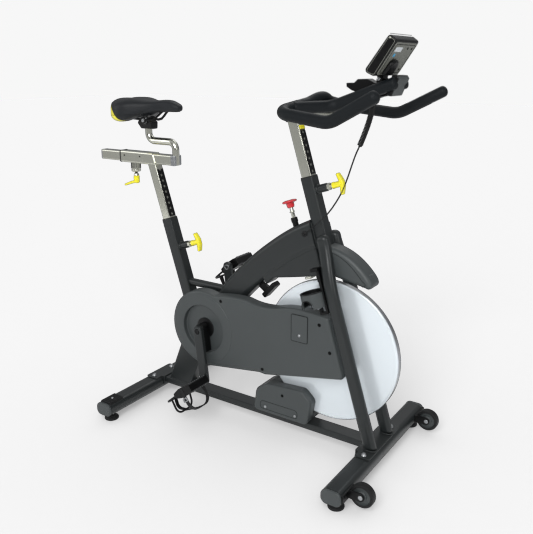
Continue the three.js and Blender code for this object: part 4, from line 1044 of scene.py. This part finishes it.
# ---- magnetic brake ------------------------------------------------------------------------------
BRAKE_TOP = Vector((286, 0, 768))
BRAKE_TILT = math.radians(19)
COVER_Y = 48
BRAKE_DOWN = Vector((math.sin(BRAKE_TILT), 0, -math.cos(BRAKE_TILT)))


def on_brake(t):
    return BRAKE_TOP + BRAKE_DOWN * t


def add_brake():
    down = aimed(on_brake(0), on_brake(10))
    cover = arcs([(184, 72, 14), (196, 150, 26), (236, 176, 26), (366, 184, 24), (400, 152, 22),
                  (386, 72, 16)], 12)
    slot = lathe([(0, -15), (FLY_R + 6, -15), (FLY_R + 6, 15), (0, 15)], across(FLY_X, FLY_Z), 128)
    for side, s in SIDES:
        lo, hi = sorted((s * 0.3, s * COVER_Y))
        outer = plate([cover], lo, hi, 5.5, rounds=6)
        flat = plate([cover], *sorted((s * 0.3, s * 20)), 0.6)
        piece(f"{side}_cover_skin", merge(carve(outer, slot), carve(flat, slot)), "plastic", "frame",
              f"{side}_magnet_cover")
        for k, (x, z) in enumerate(((231, 92), (343, 92))):
            face = outward(x, z, s * COVER_Y, s)
            rim = lathe([(0, -2), (7.4, -2), (7.4, 0.5), (6.4, 0.9), (5.4, 0.3), (5.2, -0.8), (0, -0.8)],
                        face, 36)
            piece(f"{side}_cover_rim_{k}", rim, "plastic", "frame")
            screw = lathe([(0, -1), (4.8, -1), (4.6, 0.6), (3.4, 1.2), (1.6, 1.3), (1.6, 0.2), (0, 0.2)],
                          face, 24)
            piece(f"{side}_cover_screw_{k}", screw, "steel", "frame")
        line = arcs([(212, 84, 9), (352, 84, 9), (352, 112, 12), (212, 112, 12)])
        piece(f"{side}_cover_line", groove([Vector((a, s * COVER_Y, b)) for a, b in line], 0.6), DARK,
              "frame")
        dot = rod((296, s * 47.5, 150), (296, s * 48.6, 150), 5, 24)
        piece(f"{side}_cover_plug", dot, DARK, "frame")
    keep("magnet_carrier", "steel", 0.8)
    sensor = plate([arcs([(196, 463, 3), (207, 453, 3), (247, 498, 3), (236, 508, 3)])], -15, 15, 1.6)
    foot = plate([arcs([(176, 486, 2), (188, 500, 2), (220, 484, 1), (204, 466, 1)])], -6, 6, 1)
    ends = [rod((x, -15.2, z), (x, -16.4, z), 3, 20) for x, z in ((207, 463), (237, 497))]
    piece("speed_sensor_skin", merge(sensor, foot, *ends), "black", "frame", "speed_sensor")
    collar = [(6.4, 50), (8.8, 50), (9.5, 51), (9.5, 62.8), (8.8, 64), (8.2, 64.6), (8.2, 78), (6.4, 78),
              (6.4, 50)]
    piece("brake_collar_skin", lathe(collar, down, 48), "black", "frame", "brake_collar")
    shaft = [(0, 4), (5, 4), (5, 30.6), (7.4, 31), (8, 31.4), (8, 32.6), (7.4, 33), (5, 33.4), (5, 233),
             (0, 233)]
    pad = plate([box2(28, 22, 3)], 232, 238, 1, down)
    piece("brake_rod_skin", merge(lathe(shaft, down, 48), pad), "chrome", "brake_rod", "brake_rod")
    knob = [(0, -3.4), (6, -3.3), (14, -2.8), (19, -2.0), (21.4, -0.8), (22, 0.8), (21.5, 2.5), (19.8, 3.6),
            (13, 4.6), (11.8, 5.8), (11.2, 9), (11, 14), (10, 17.6), (9, 19), (5.4, 19), (5.4, 12), (0, 12)]
    piece("tension_knob_skin", lathe(knob, down, 96), "red", "tension_knob", "tension_knob")
    mark = lathe([(12.2, -3.0), (13, -3.3), (13.8, -2.9), (13, -2.5), (12.2, -3.0)], down, 72)
    piece("tension_knob_line", mark, "red", "tension_knob")


add_brake()


# ---- seat ----------------------------------------------------------------------------------------
SLEEVE_Z, STEM_Z = 856, 1016
SCREW_X = -337
SCALE_STEP = 19.0


def square_post(lo, hi, place):
    return plate([box2(POST, POST, 3.4, 6), box2(POST - 5, POST - 5, 1.4, 3)], lo, hi, 0.4, place)


def ladder(name, top, body, first, last):
    """The dark scale on the front face of a post."""
    here = leaning(*top)
    strip = plate([box2(0.3, 29, 0.1, 1)], first, last, 0.1,
                  here @ Matrix.Translation((POST / 2 + 0.05, 0, 0)))
    piece(f"{name}_scale", strip, "black", body)
    marks = []
    for k in range(int((last - first - 10) / SCALE_STEP) + 1):
        w = first + 8 + k * SCALE_STEP
        marks.append(rod((0, 0, 0), (0.87, 0, 0), 3.6, 24))
        marks[-1].transform(here @ Matrix.Translation((POST / 2 - 0.6, 0, w)))
    piece(f"{name}_scale_marks", merge(*marks), OLIVE, body)


def add_seat_post():
    here = leaning(*SEAT_TOP)
    post = square_post(-200, 205, here)
    chop(post, Vector((0, 0, SLEEVE_Z - 18)), Vector((0, 0, 1)))
    along = Matrix.Translation((0, 0, SLEEVE_Z)) @ ENDWAYS
    sleeve = plate([box2(38, 36, 4.4, 6), box2(33, 31, 2, 3)], -391, -201, 0.7, along)
    chop(sleeve, here @ Vector((POST / 2, 0, 0)), here.to_3x3() @ Vector((1, 0, 0)))
    boss = lathe([(0, 806), (13.4, 806), (15.2, 807.4), (15.5, 809), (15.5, 812), (14.7, 812.8), (14.7, 815),
                  (15.5, 815.8), (15.5, 838), (0, 838)], Matrix.Translation((SCREW_X, 0, 0)), 64)
    piece("seat_post_skin", merge(post, sleeve, boss), "chrome", "seat_post", "seat_post", 0.3)
    grooves = [rod((SCREW_X + x, y, 817), (SCREW_X + x, y, 836), 0.9, 8) for x, y in ring2(15.4, sides=18)]
    piece("boss_grooves", merge(*grooves), DARK, "seat_post")
    ladder("seat_post", SEAT_TOP, "seat_post", 6, 168)
    lip = plate([box2(39.6, 37.6, 5, 6), box2(33, 31, 2, 3)], -393.5, -389, 0.9, along)
    piece("sleeve_lip", lip, "black", "seat_post")
    for k, x in enumerate((-372, -300)):
        pin = lathe([(0, -18.6), (2.6, -18.6), (2.6, -17.6), (0, -17.6)], across(x, SLEEVE_Z + 4), 24)
        piece(f"sleeve_pin_{k}", pin, DARK, "seat_post")
    bar = plate([box2(32, 30, 3.4, 6), box2(27, 25, 1.4, 3)], -484, -158, 0.5, along)
    stem = [(-153, 0, 843), (-153, 0, 915, 25), (-269, 0, 915, 25), (-269, 0, 968)]
    line, sizes = domed(route(stem, 4), 11, 0.25)
    pipe = sweep(line, ring2(11, sides=40), sizes)
    piece("saddle_stem_skin", merge(bar, pipe), "chrome", "saddle_slider", "saddle_stem", 0.2)
    plug = plate([box2(32.6, 30.6, 4, 6)], -487, -482, 1.6, along)
    piece("slider_rear_plug", plug, "steel", "saddle_slider")
    nose = plate([arcs([(-164, 840, 3), (-145, 840, 4), (-145, 873, 4), (-164, 873, 3)])], -16.2, 16.2, 2)
    ribs = [plate([arcs([(x, 842, 0.6), (x + 2.0, 842, 0.6), (x + 2.0, 871, 0.6), (x, 871, 0.6)], 3)],
                  *sides, 0.5)
            for x in (-161.5, -157.3, -153.1, -148.9) for sides in ((-17.6, -15), (15, 17.6))]
    piece("slider_front_block", merge(nose, *ribs), "steel", "saddle_slider")


def add_slider_lever():
    body = "slider_lever"
    place = Matrix.Translation((SCREW_X, 0, 0))
    hub = lathe([(0, 766), (7, 766), (8.6, 767), (9.4, 769), (9.5, 788), (8.6, 790), (0, 790)],
                place, 48)
    shape = [(4, 768, 2), (4, 777, 2), (-24, 769, 8), (-54, 757, 2.4), (-54, 751.5, 2.4), (-24, 761, 8)]
    arm = plate([arcs([(SCREW_X + a, z, r) for a, z, r in shape])], -6.5, 6.5, 1.8)
    piece("slider_lever_skin", merge(hub, arm), "yellow", body, "slider_lever")
    thread = [(0, 790), (4.2, 790)]
    for k in range(14):
        z = 790.6 + k * 2.4
        thread += [(4.2, z), (3.3, z + 1.2)]
    thread += [(3.9, 826), (0, 826)]
    piece("slider_screw", lathe(thread, place, 32), "black", body)
    cone = lathe([(4.3, 791), (8.4, 791), (8.4, 793), (6, 799), (4.3, 799), (4.3, 791)],
                 place, 40)
    piece("slider_cone", cone, "chrome", body)


SADDLE = [(-389, 22, 1030, 1000), (-387, 43, 1039, 989), (-380, 58, 1046, 983), (-366, 70, 1050, 979),
          (-349, 80, 1052.5, 976), (-328, 87, 1053, 976), (-304, 83, 1053, 981), (-282, 71, 1051, 989),
          (-262, 57, 1048, 996), (-240, 43, 1046, 1003), (-216, 32, 1046, 1007), (-190, 26, 1048, 1010),
          (-166, 22.5, 1047, 1012), (-149, 20, 1042, 1013.5), (-136, 16.5, 1037, 1014),
          (-129, 12.5, 1033, 1015), (-125.5, 7, 1029, 1017)]


def smooth_rows(rows, per=5):
    """Catmull-Rom through rows of numbers."""
    rows = [rows[0]] + list(rows) + [rows[-1]]
    out = []
    for i in range(1, len(rows) - 2):
        for k in range(per):
            t = k / per
            out.append([0.5 * (2 * b + (c - a) * t + (2 * a - 5 * b + 4 * c - d) * t * t
                               + (3 * b - a - 3 * c + d) * t ** 3) for a, b, c, d in zip(*rows[i - 1:i + 3])])
    return out + [list(rows[-2])]


def saddle_skin():
    rings = []
    for x, half, top, bottom in smooth_rows(SADDLE):
        middle = (top + bottom) / 2
        tail = max(0.0, min(1.0, (-250 - x) / 60))
        ring = []
        for i in range(64):
            a = 2 * math.pi * i / 64
            c, d = math.cos(a), math.sin(a)
            below = 0.24 * tail if d < 0 else 0
            y = half * math.copysign(abs(c) ** (0.72 - below), c)
            z = middle + (top - bottom) / 2 * math.copysign(abs(d) ** (0.68 - below), d)
            if d > 0:
                z -= tail * 5.5 * math.exp(-(y / 15) ** 2) * d
                z += tail * 1.6 * math.exp(-((abs(y) - 48) / 22) ** 2) * d
            else:
                z += tail * 9 * math.exp(-(y / 34) ** 2) * -d
            ring.append(Vector((x + (z - middle) * 0.06, y, z)))
        rings.append(ring)
    return skin(rings)


def add_saddle():
    bm = saddle_skin()
    lean_back = Vector((1, 0, 1.08)).normalized()
    cuts = {
        "rear": (Vector((-386, 0, 1046)), lean_back),
        "skirt": (Vector((0, 0, 1016)), Vector((-0.05, 0, 1)).normalized()),
    }
    found = {}
    for name, (point, normal) in cuts.items():
        geometry = bm.verts[:] + bm.edges[:] + bm.faces[:]
        made = bmesh.ops.bisect_plane(bm, geom=geometry, plane_co=point, plane_no=normal)
        found[name] = [tuple(v.co.copy() for v in e.verts) for e in made["geom_cut"]
                       if isinstance(e, bmesh.types.BMEdge)]
    point, normal = cuts["rear"]
    bm.faces.ensure_lookup_table()
    for face in bm.faces:
        face.material_index = 1 if (face.calc_center_median() - point).dot(normal) < 0 else 0
    pad = piece("saddle_cover", bm, "saddle", "saddle", "saddle_pad")
    pad.data.materials.append(LOOKS["yellow"])
    for name, edges in found.items():
        line = chain(edges)
        if name == "skirt":
            line = [p for p in line if p.x > -372]
        thread = sweep(line, ring2(0.75 if name == "rear" else 0.55, sides=8))
        piece(f"saddle_{name}_seam", thread, "black", "saddle")
    keep("saddle_base", "black", 0.5)
    jaw = arcs([(-303, 972, 4), (-288, 955, 4), (-243, 954, 4), (-241, 976, 5), (-262, 987, 6),
                (-296, 983, 6)])
    piece("saddle_clamp_skin", plate([jaw], -15.5, 15.5, 2.2), "black", "saddle_slider", "saddle_clamp")
    bolt = [(0, -27.5), (5.4, -27.5), (6.2, -26.6), (6.2, -22), (11.8, -21.8), (12.4, -21), (12.4, -17),
            (0, -17)]
    piece("saddle_clamp_bolt", lathe(bolt, across(-269, 982), 40), "steel", "saddle_slider")


def chain(edges):
    """Puts loose edges in order, as one line of points."""
    key = lambda p: (round(p.x, 2), round(p.y, 2), round(p.z, 2))
    links = {}
    for a, b in edges:
        links.setdefault(key(a), []).append((key(b), b))
        links.setdefault(key(b), []).append((key(a), a))
    start = min((k for k, v in links.items() if len(v) == 1), default=min(links))
    out, seen, here = [Vector(start)], {start}, start
    while True:
        ways = [(k, p) for k, p in links[here] if k not in seen]
        if not ways:
            return out
        here, p = ways[0]
        seen.add(here)
        out.append(p)


def add_pull_pin(node, top, pin_at):
    here = pin_place(top, pin_at)
    hub = lathe([(0, 69), (8.2, 69), (9.2, 70), (9.2, 74), (8.4, 76), (8.0, 92), (8.8, 98), (0, 98)], here,
                48)
    upright = leaning(*top) @ Matrix.Translation((0, 0, pin_at))
    grip = arcs([(94, -10, 4), (90, -30, 2.5), (97, -31, 2.5), (106, -9, 6), (106, 9, 6), (97, 31, 2.5),
                 (90, 30, 2.5), (94, 10, 4)])
    handle = plate([grip], -7.5, 7.5, 2.2)
    handle.transform(upright)
    piece(f"{node}_grip", merge(hub, handle), "yellow", node, node)
    piece(f"{node}_shaft", lathe([(0, 17), (5.5, 17), (5.5, 70), (0, 70)], here, 32), "chrome", node)


add_seat_post()
add_slider_lever()
add_saddle()
add_pull_pin("seat_pull_pin", SEAT_TOP, SEAT_PIN)
add_pull_pin("handlebar_pull_pin", HEAD_TOP, HEAD_PIN)


# ---- handlebar -----------------------------------------------------------------------------------
GRIP_R = 16
CONSOLE_HALF = 72
HORN = [(650, 228, 1084), (526, 211, 1020, 70), (364, 194, 1038, 44), (380, 60, 1057, 60), (391, 0, 1075, 90)]
INNER_BAR = [(378, 128, 1047), (441, 34, 1049, 44), (614, 34, 1111)]


def across_bike(points):
    return [(p[0], -p[1], *p[2:]) for p in points]


def add_bars():
    here = leaning(*HEAD_TOP)
    post = square_post(-165, 190, here)
    chop(post, Vector((0, 0, 1001)), Vector((0, 0, 1)))
    along = Matrix.Translation((0, 0, STEM_Z)) @ ENDWAYS
    stem = plate([box2(32, 32, 4, 6)], 284, 426, 1.2, along)
    piece("handlebar_post_skin", merge(post, stem), "chrome", "handlebar_post", "handlebar_post", 0.3)
    ladder("handlebar_post", HEAD_TOP, "handlebar_post", 6, 132)
    stop = plate([box2(3, 24, 1, 3)], 137, 148, 0.8, here @ Matrix.Translation((POST / 2 + 1.4, 0, 0)))
    piece("handlebar_post_stop", stop, "yellow", "handlebar_post")
    plug = plate([box2(33.2, 33.2, 4.4, 6)], 281, 287, 1.6, along)
    piece("stem_rear_plug", plug, "black", "handlebar_post")
    line, sizes = domed(route(HORN + list(reversed(across_bike(HORN[:-1]))), 4), GRIP_R, 0.8)
    piece("bar_foam", sweep(line, ring2(GRIP_R, sides=40), sizes), "foam", "handlebar_post", "handlebar")
    for name, points in (("left", INNER_BAR), ("right", across_bike(INNER_BAR))):
        line, sizes = domed(route(points, 4), GRIP_R, 0.5)
        piece(f"inner_{name}_foam", sweep(line, ring2(GRIP_R, sides=40), sizes), "foam", "handlebar_post")
    clamp = plate([box2(50, 118, 6)], 1031, 1052, 3, Matrix.Translation((397, 0, 0)))
    piece("bar_clamp", clamp, "black", "handlebar_post")
    for k, (x, y) in enumerate(((382, -42), (412, -42), (382, 42), (412, 42))):
        cap = lathe([(0, 1051), (5.2, 1051), (5.2, 1055), (4.4, 1056), (2.4, 1056), (2.4, 1053), (0, 1053)],
                    Matrix.Translation((x, y, 0)), 32)
        piece(f"bar_clamp_screw_{k}", cap, "steel", "handlebar_post")


HINGE = (566, 1121)


def add_console():
    outline = [(545, 1140, 9), (575, 1126.5, 8), (633, 1213, 7), (611, 1229, 9)]
    case = plate([arcs(outline, 8)], -CONSOLE_HALF, CONSOLE_HALF, 3.4, rounds=5)
    ear = arcs([(556, 1136, 2), (559, 1120, 5), (566, 1113, 4), (573, 1120, 5), (576, 1134, 2)])
    lug = plate([ear], -17, 17, 1.2)
    piece("console_case", merge(case, lug), "black", "console", "console")
    up = (Vector((633, 0, 1213)) - Vector((575, 0, 1126.5))).normalized()
    out = Vector((up.z, 0, -up.x))
    tilt = Matrix(((0, up.x, out.x, 604), (1, 0, 0, 0), (0, up.z, out.z, 1169.8), (0, 0, 0, 1)))
    # Facing the front of the bike: local x runs along Y, local y up the back and local z out of it.
    back = plate([arcs([(-67, -46, 7), (67, -46, 7), (67, 46, 7), (-67, 46, 7)])], -0.6, 1.4, 0.7, tilt)
    piece("console_back_panel", back, OLIVE, "console")
    seam = [Vector((a, b, 1.5)) for a, b in arcs([(-61, -40, 7), (61, -40, 7), (61, 41, 7), (-61, 41, 7)])]
    piece("console_back_seam", moved(groove(seam, 0.8), tilt), DARK, "console")
    plain = plate([box2(40, 13, 2)], 1.1, 1.8, 0.2, tilt @ Matrix.Translation((-32, 27, 0)))
    piece("console_label", plain, LABEL, "console")
    here = tilt @ Matrix.Translation((-38, 11, 0))
    dot = lathe([(0, 2.4), (4.0, 2.3), (4.8, 1.8), (4.8, 1.0), (0, 1.0)], here, 32)
    piece("console_dot", dot, BLUE, "console")
    hump = plate([arcs([(-46, -43, 6), (4, -43, 6), (2, 0, 18), (-40, 2, 18)])], -1, 13, 6, tilt, 6)
    piece("console_hinge_cover", hump, "black", "console")
    for k, (x, y) in enumerate(((48, -30), (46, 31), (20, 31))):
        here = tilt @ Matrix.Translation((x, y, 0))
        hole = lathe([(0, 1.5), (2.8, 1.5), (3.4, 2.0), (3.4, 1.0), (0, 1.0)], here, 24)
        piece(f"console_screw_{k}", hole, DARK, "console")
    rise = (Vector((611, 0, 1229)) - Vector((545, 0, 1140))).normalized()
    face_tilt = Matrix(((0, rise.x, -rise.z, 578), (-1, 0, 0, 0), (0, rise.z, rise.x, 1184.5), (0, 0, 0, 1)))
    screen = plate([arcs([(-56, -36, 4), (56, -36, 4), (56, 38, 4), (-56, 38, 4)])], -0.4, 1.2, 0.5,
                   face_tilt)
    piece("console_screen", screen, DARK, "console")
    for name, s in SIDES:
        inner = arcs([(552, 1139.6, 6), (574, 1131.4, 5), (627, 1211.2, 4), (611, 1222, 6)], 6)
        rim = [Vector((a, s * 72.1, b)) for a, b in inner]
        piece(f"console_{name}_groove", groove(rim), OLIVE, "console")
        profile = [(0, 74), (1.8, 73.8), (2.6, 72.8), (2.6, 71.6), (0, 71.6)]
        stud = lathe(profile, outward(613, 1219, 0, s), 24)
        piece(f"console_{name}_stud", stud, "chrome", "console")
    crease = [Vector((611.5, y, 1228.6)) for y in range(-68, 69, 8)]
    piece("console_top_seam", sweep(crease, ring2(0.7, sides=8), side=(1, 0, 0)), DARK, "console")
    add_tray()


def add_tray():
    """The bracket between the inner bars that carries the console."""
    side = arcs([(470, 1110, 2), (471, 1100, 2), (486, 1091, 3), (536, 1077, 4), (556, 1073, 4),
                 (604, 1082, 3), (622, 1120, 3), (606, 1122, 3), (575, 1111, 2), (552, 1111, 2),
                 (530, 1121, 3), (503, 1120, 3), (492, 1110, 2)])
    shelf = arcs([(550, 1105, 1), (586, 1105, 1), (586, 1111, 1), (550, 1111, 1)])
    parts = [plate([side], -17, 17, 1.4), plate([shelf], -23, 23, 0.8)]
    ear = arcs([(560, 1108, 1), (559, 1121, 4), (566, 1128, 4), (573, 1121, 4), (574, 1108, 1)])
    parts += [plate([ear], -23, -17.4, 1.0), plate([ear], 17.4, 23, 1.0)]
    end = arcs([(606, 1131, 3), (622, 1130, 3), (626, 1122, 3), (607, 1078, 3), (594, 1080, 3)])
    parts.append(plate([end], -34, 34, 3))
    piece("console_tray_skin", merge(*parts), "black", "handlebar_post", "console_tray")
    strip = arcs([(623.4, 1128.6, 0.8), (627.2, 1121.6, 0.8), (609, 1079, 0.8), (606.6, 1079.4, 0.8)])
    piece("console_tray_trim", plate([strip], -32, 32, 0.7), "plastic", "handlebar_post")
    pin = [(0, -25.5), (4.6, -25.5), (5, -24.8), (5, -23.4), (3, -23.4), (3, 23.4), (5, 23.4), (5, 24.8),
           (4.6, 25.5), (0, 25.5)]
    piece("console_hinge_pin", lathe(pin, across(*HINGE), 32), "steel", "handlebar_post")


add_bars()
add_console()


# ---- bottle cage ---------------------------------------------------------------------------------
def add_cage():
    """Holder on the right leg: a deep band around the bottle, a strap with a clip above and a hook below."""
    z0 = 519
    here = leaning(leg_x(z0), z0)
    u, y, r, t = -61, -60, 35, 3
    at_ring = here @ Matrix.Translation((u, y, 0))
    band = plate([ring2(r + t, sides=96), ring2(r, sides=96)], -22, 24, 1.2, at_ring)
    mouth = Matrix(((0, 0, 1, 0), (1, 0, 0, 0), (0, 1, 0, 0), (0, 0, 0, 1)))
    facing = at_ring @ Matrix.Rotation(math.radians(-100), 4, "Z") @ mouth
    arch = plate([[Vector((-19, -40)), Vector((19, -40))] + arc2(0, -14, 19, 0, 180, 20)], 10, 60, 0.5,
                 facing)
    band = carve(band, arch)
    piece("bottle_cage_band", band, "plastic", "frame", "bottle_cage", 0.3)
    lining = plate([ring2(r + 0.2, sides=96), ring2(r - 0.9, sides=96)], -18, 22.6, 0.4, at_ring)
    lips = [plate([ring2(r + t + 0.7, sides=96), ring2(r - 0.6, sides=96)], 21.6, 25, 1.4, at_ring)]
    brim = [Vector((a, b, 38.6)) for a, b in arc2(0, -14, 19.6, -12, 192, 24)]
    lips.append(moved(sweep(brim, ring2(1.4, sides=10)), facing))

    def bar(x0, x1, half, lo, hi, edge):
        return plate([arcs([(x0, y - half, 1.8), (x1, y - half, 1.8), (x1, y + half, 1.8),
                            (x0, y + half, 1.8)], 4)], lo, hi, edge, here)

    strap = [bar(-28, -19.6, 9, -44, 84, 1.2), bar(-44, -20, 13, 82, 92, 2.4), bar(-32, -24, 6, 50, 70, 1.6),
             bar(-46, -22, 9, -46, -39, 1.6), bar(-49, -43, 9, -46, -28, 1.4)]
    piece("bottle_cage_strap", merge(carve(lining, arch), *lips, *strap), "black", "frame")
    for k, w in enumerate((-32, 38)):
        bolt = here @ Matrix.Translation((-28, y, w)) @ Matrix.Rotation(-math.pi / 2, 4, "Y")
        head = lathe([(0, 0), (4.6, 0), (4.6, 1), (3.6, 2.6), (1.5, 3), (1.5, 1.4), (0, 1.4)], bolt, 32)
        piece(f"bottle_cage_screw_{k}", head, "steel", "frame")


add_cage()
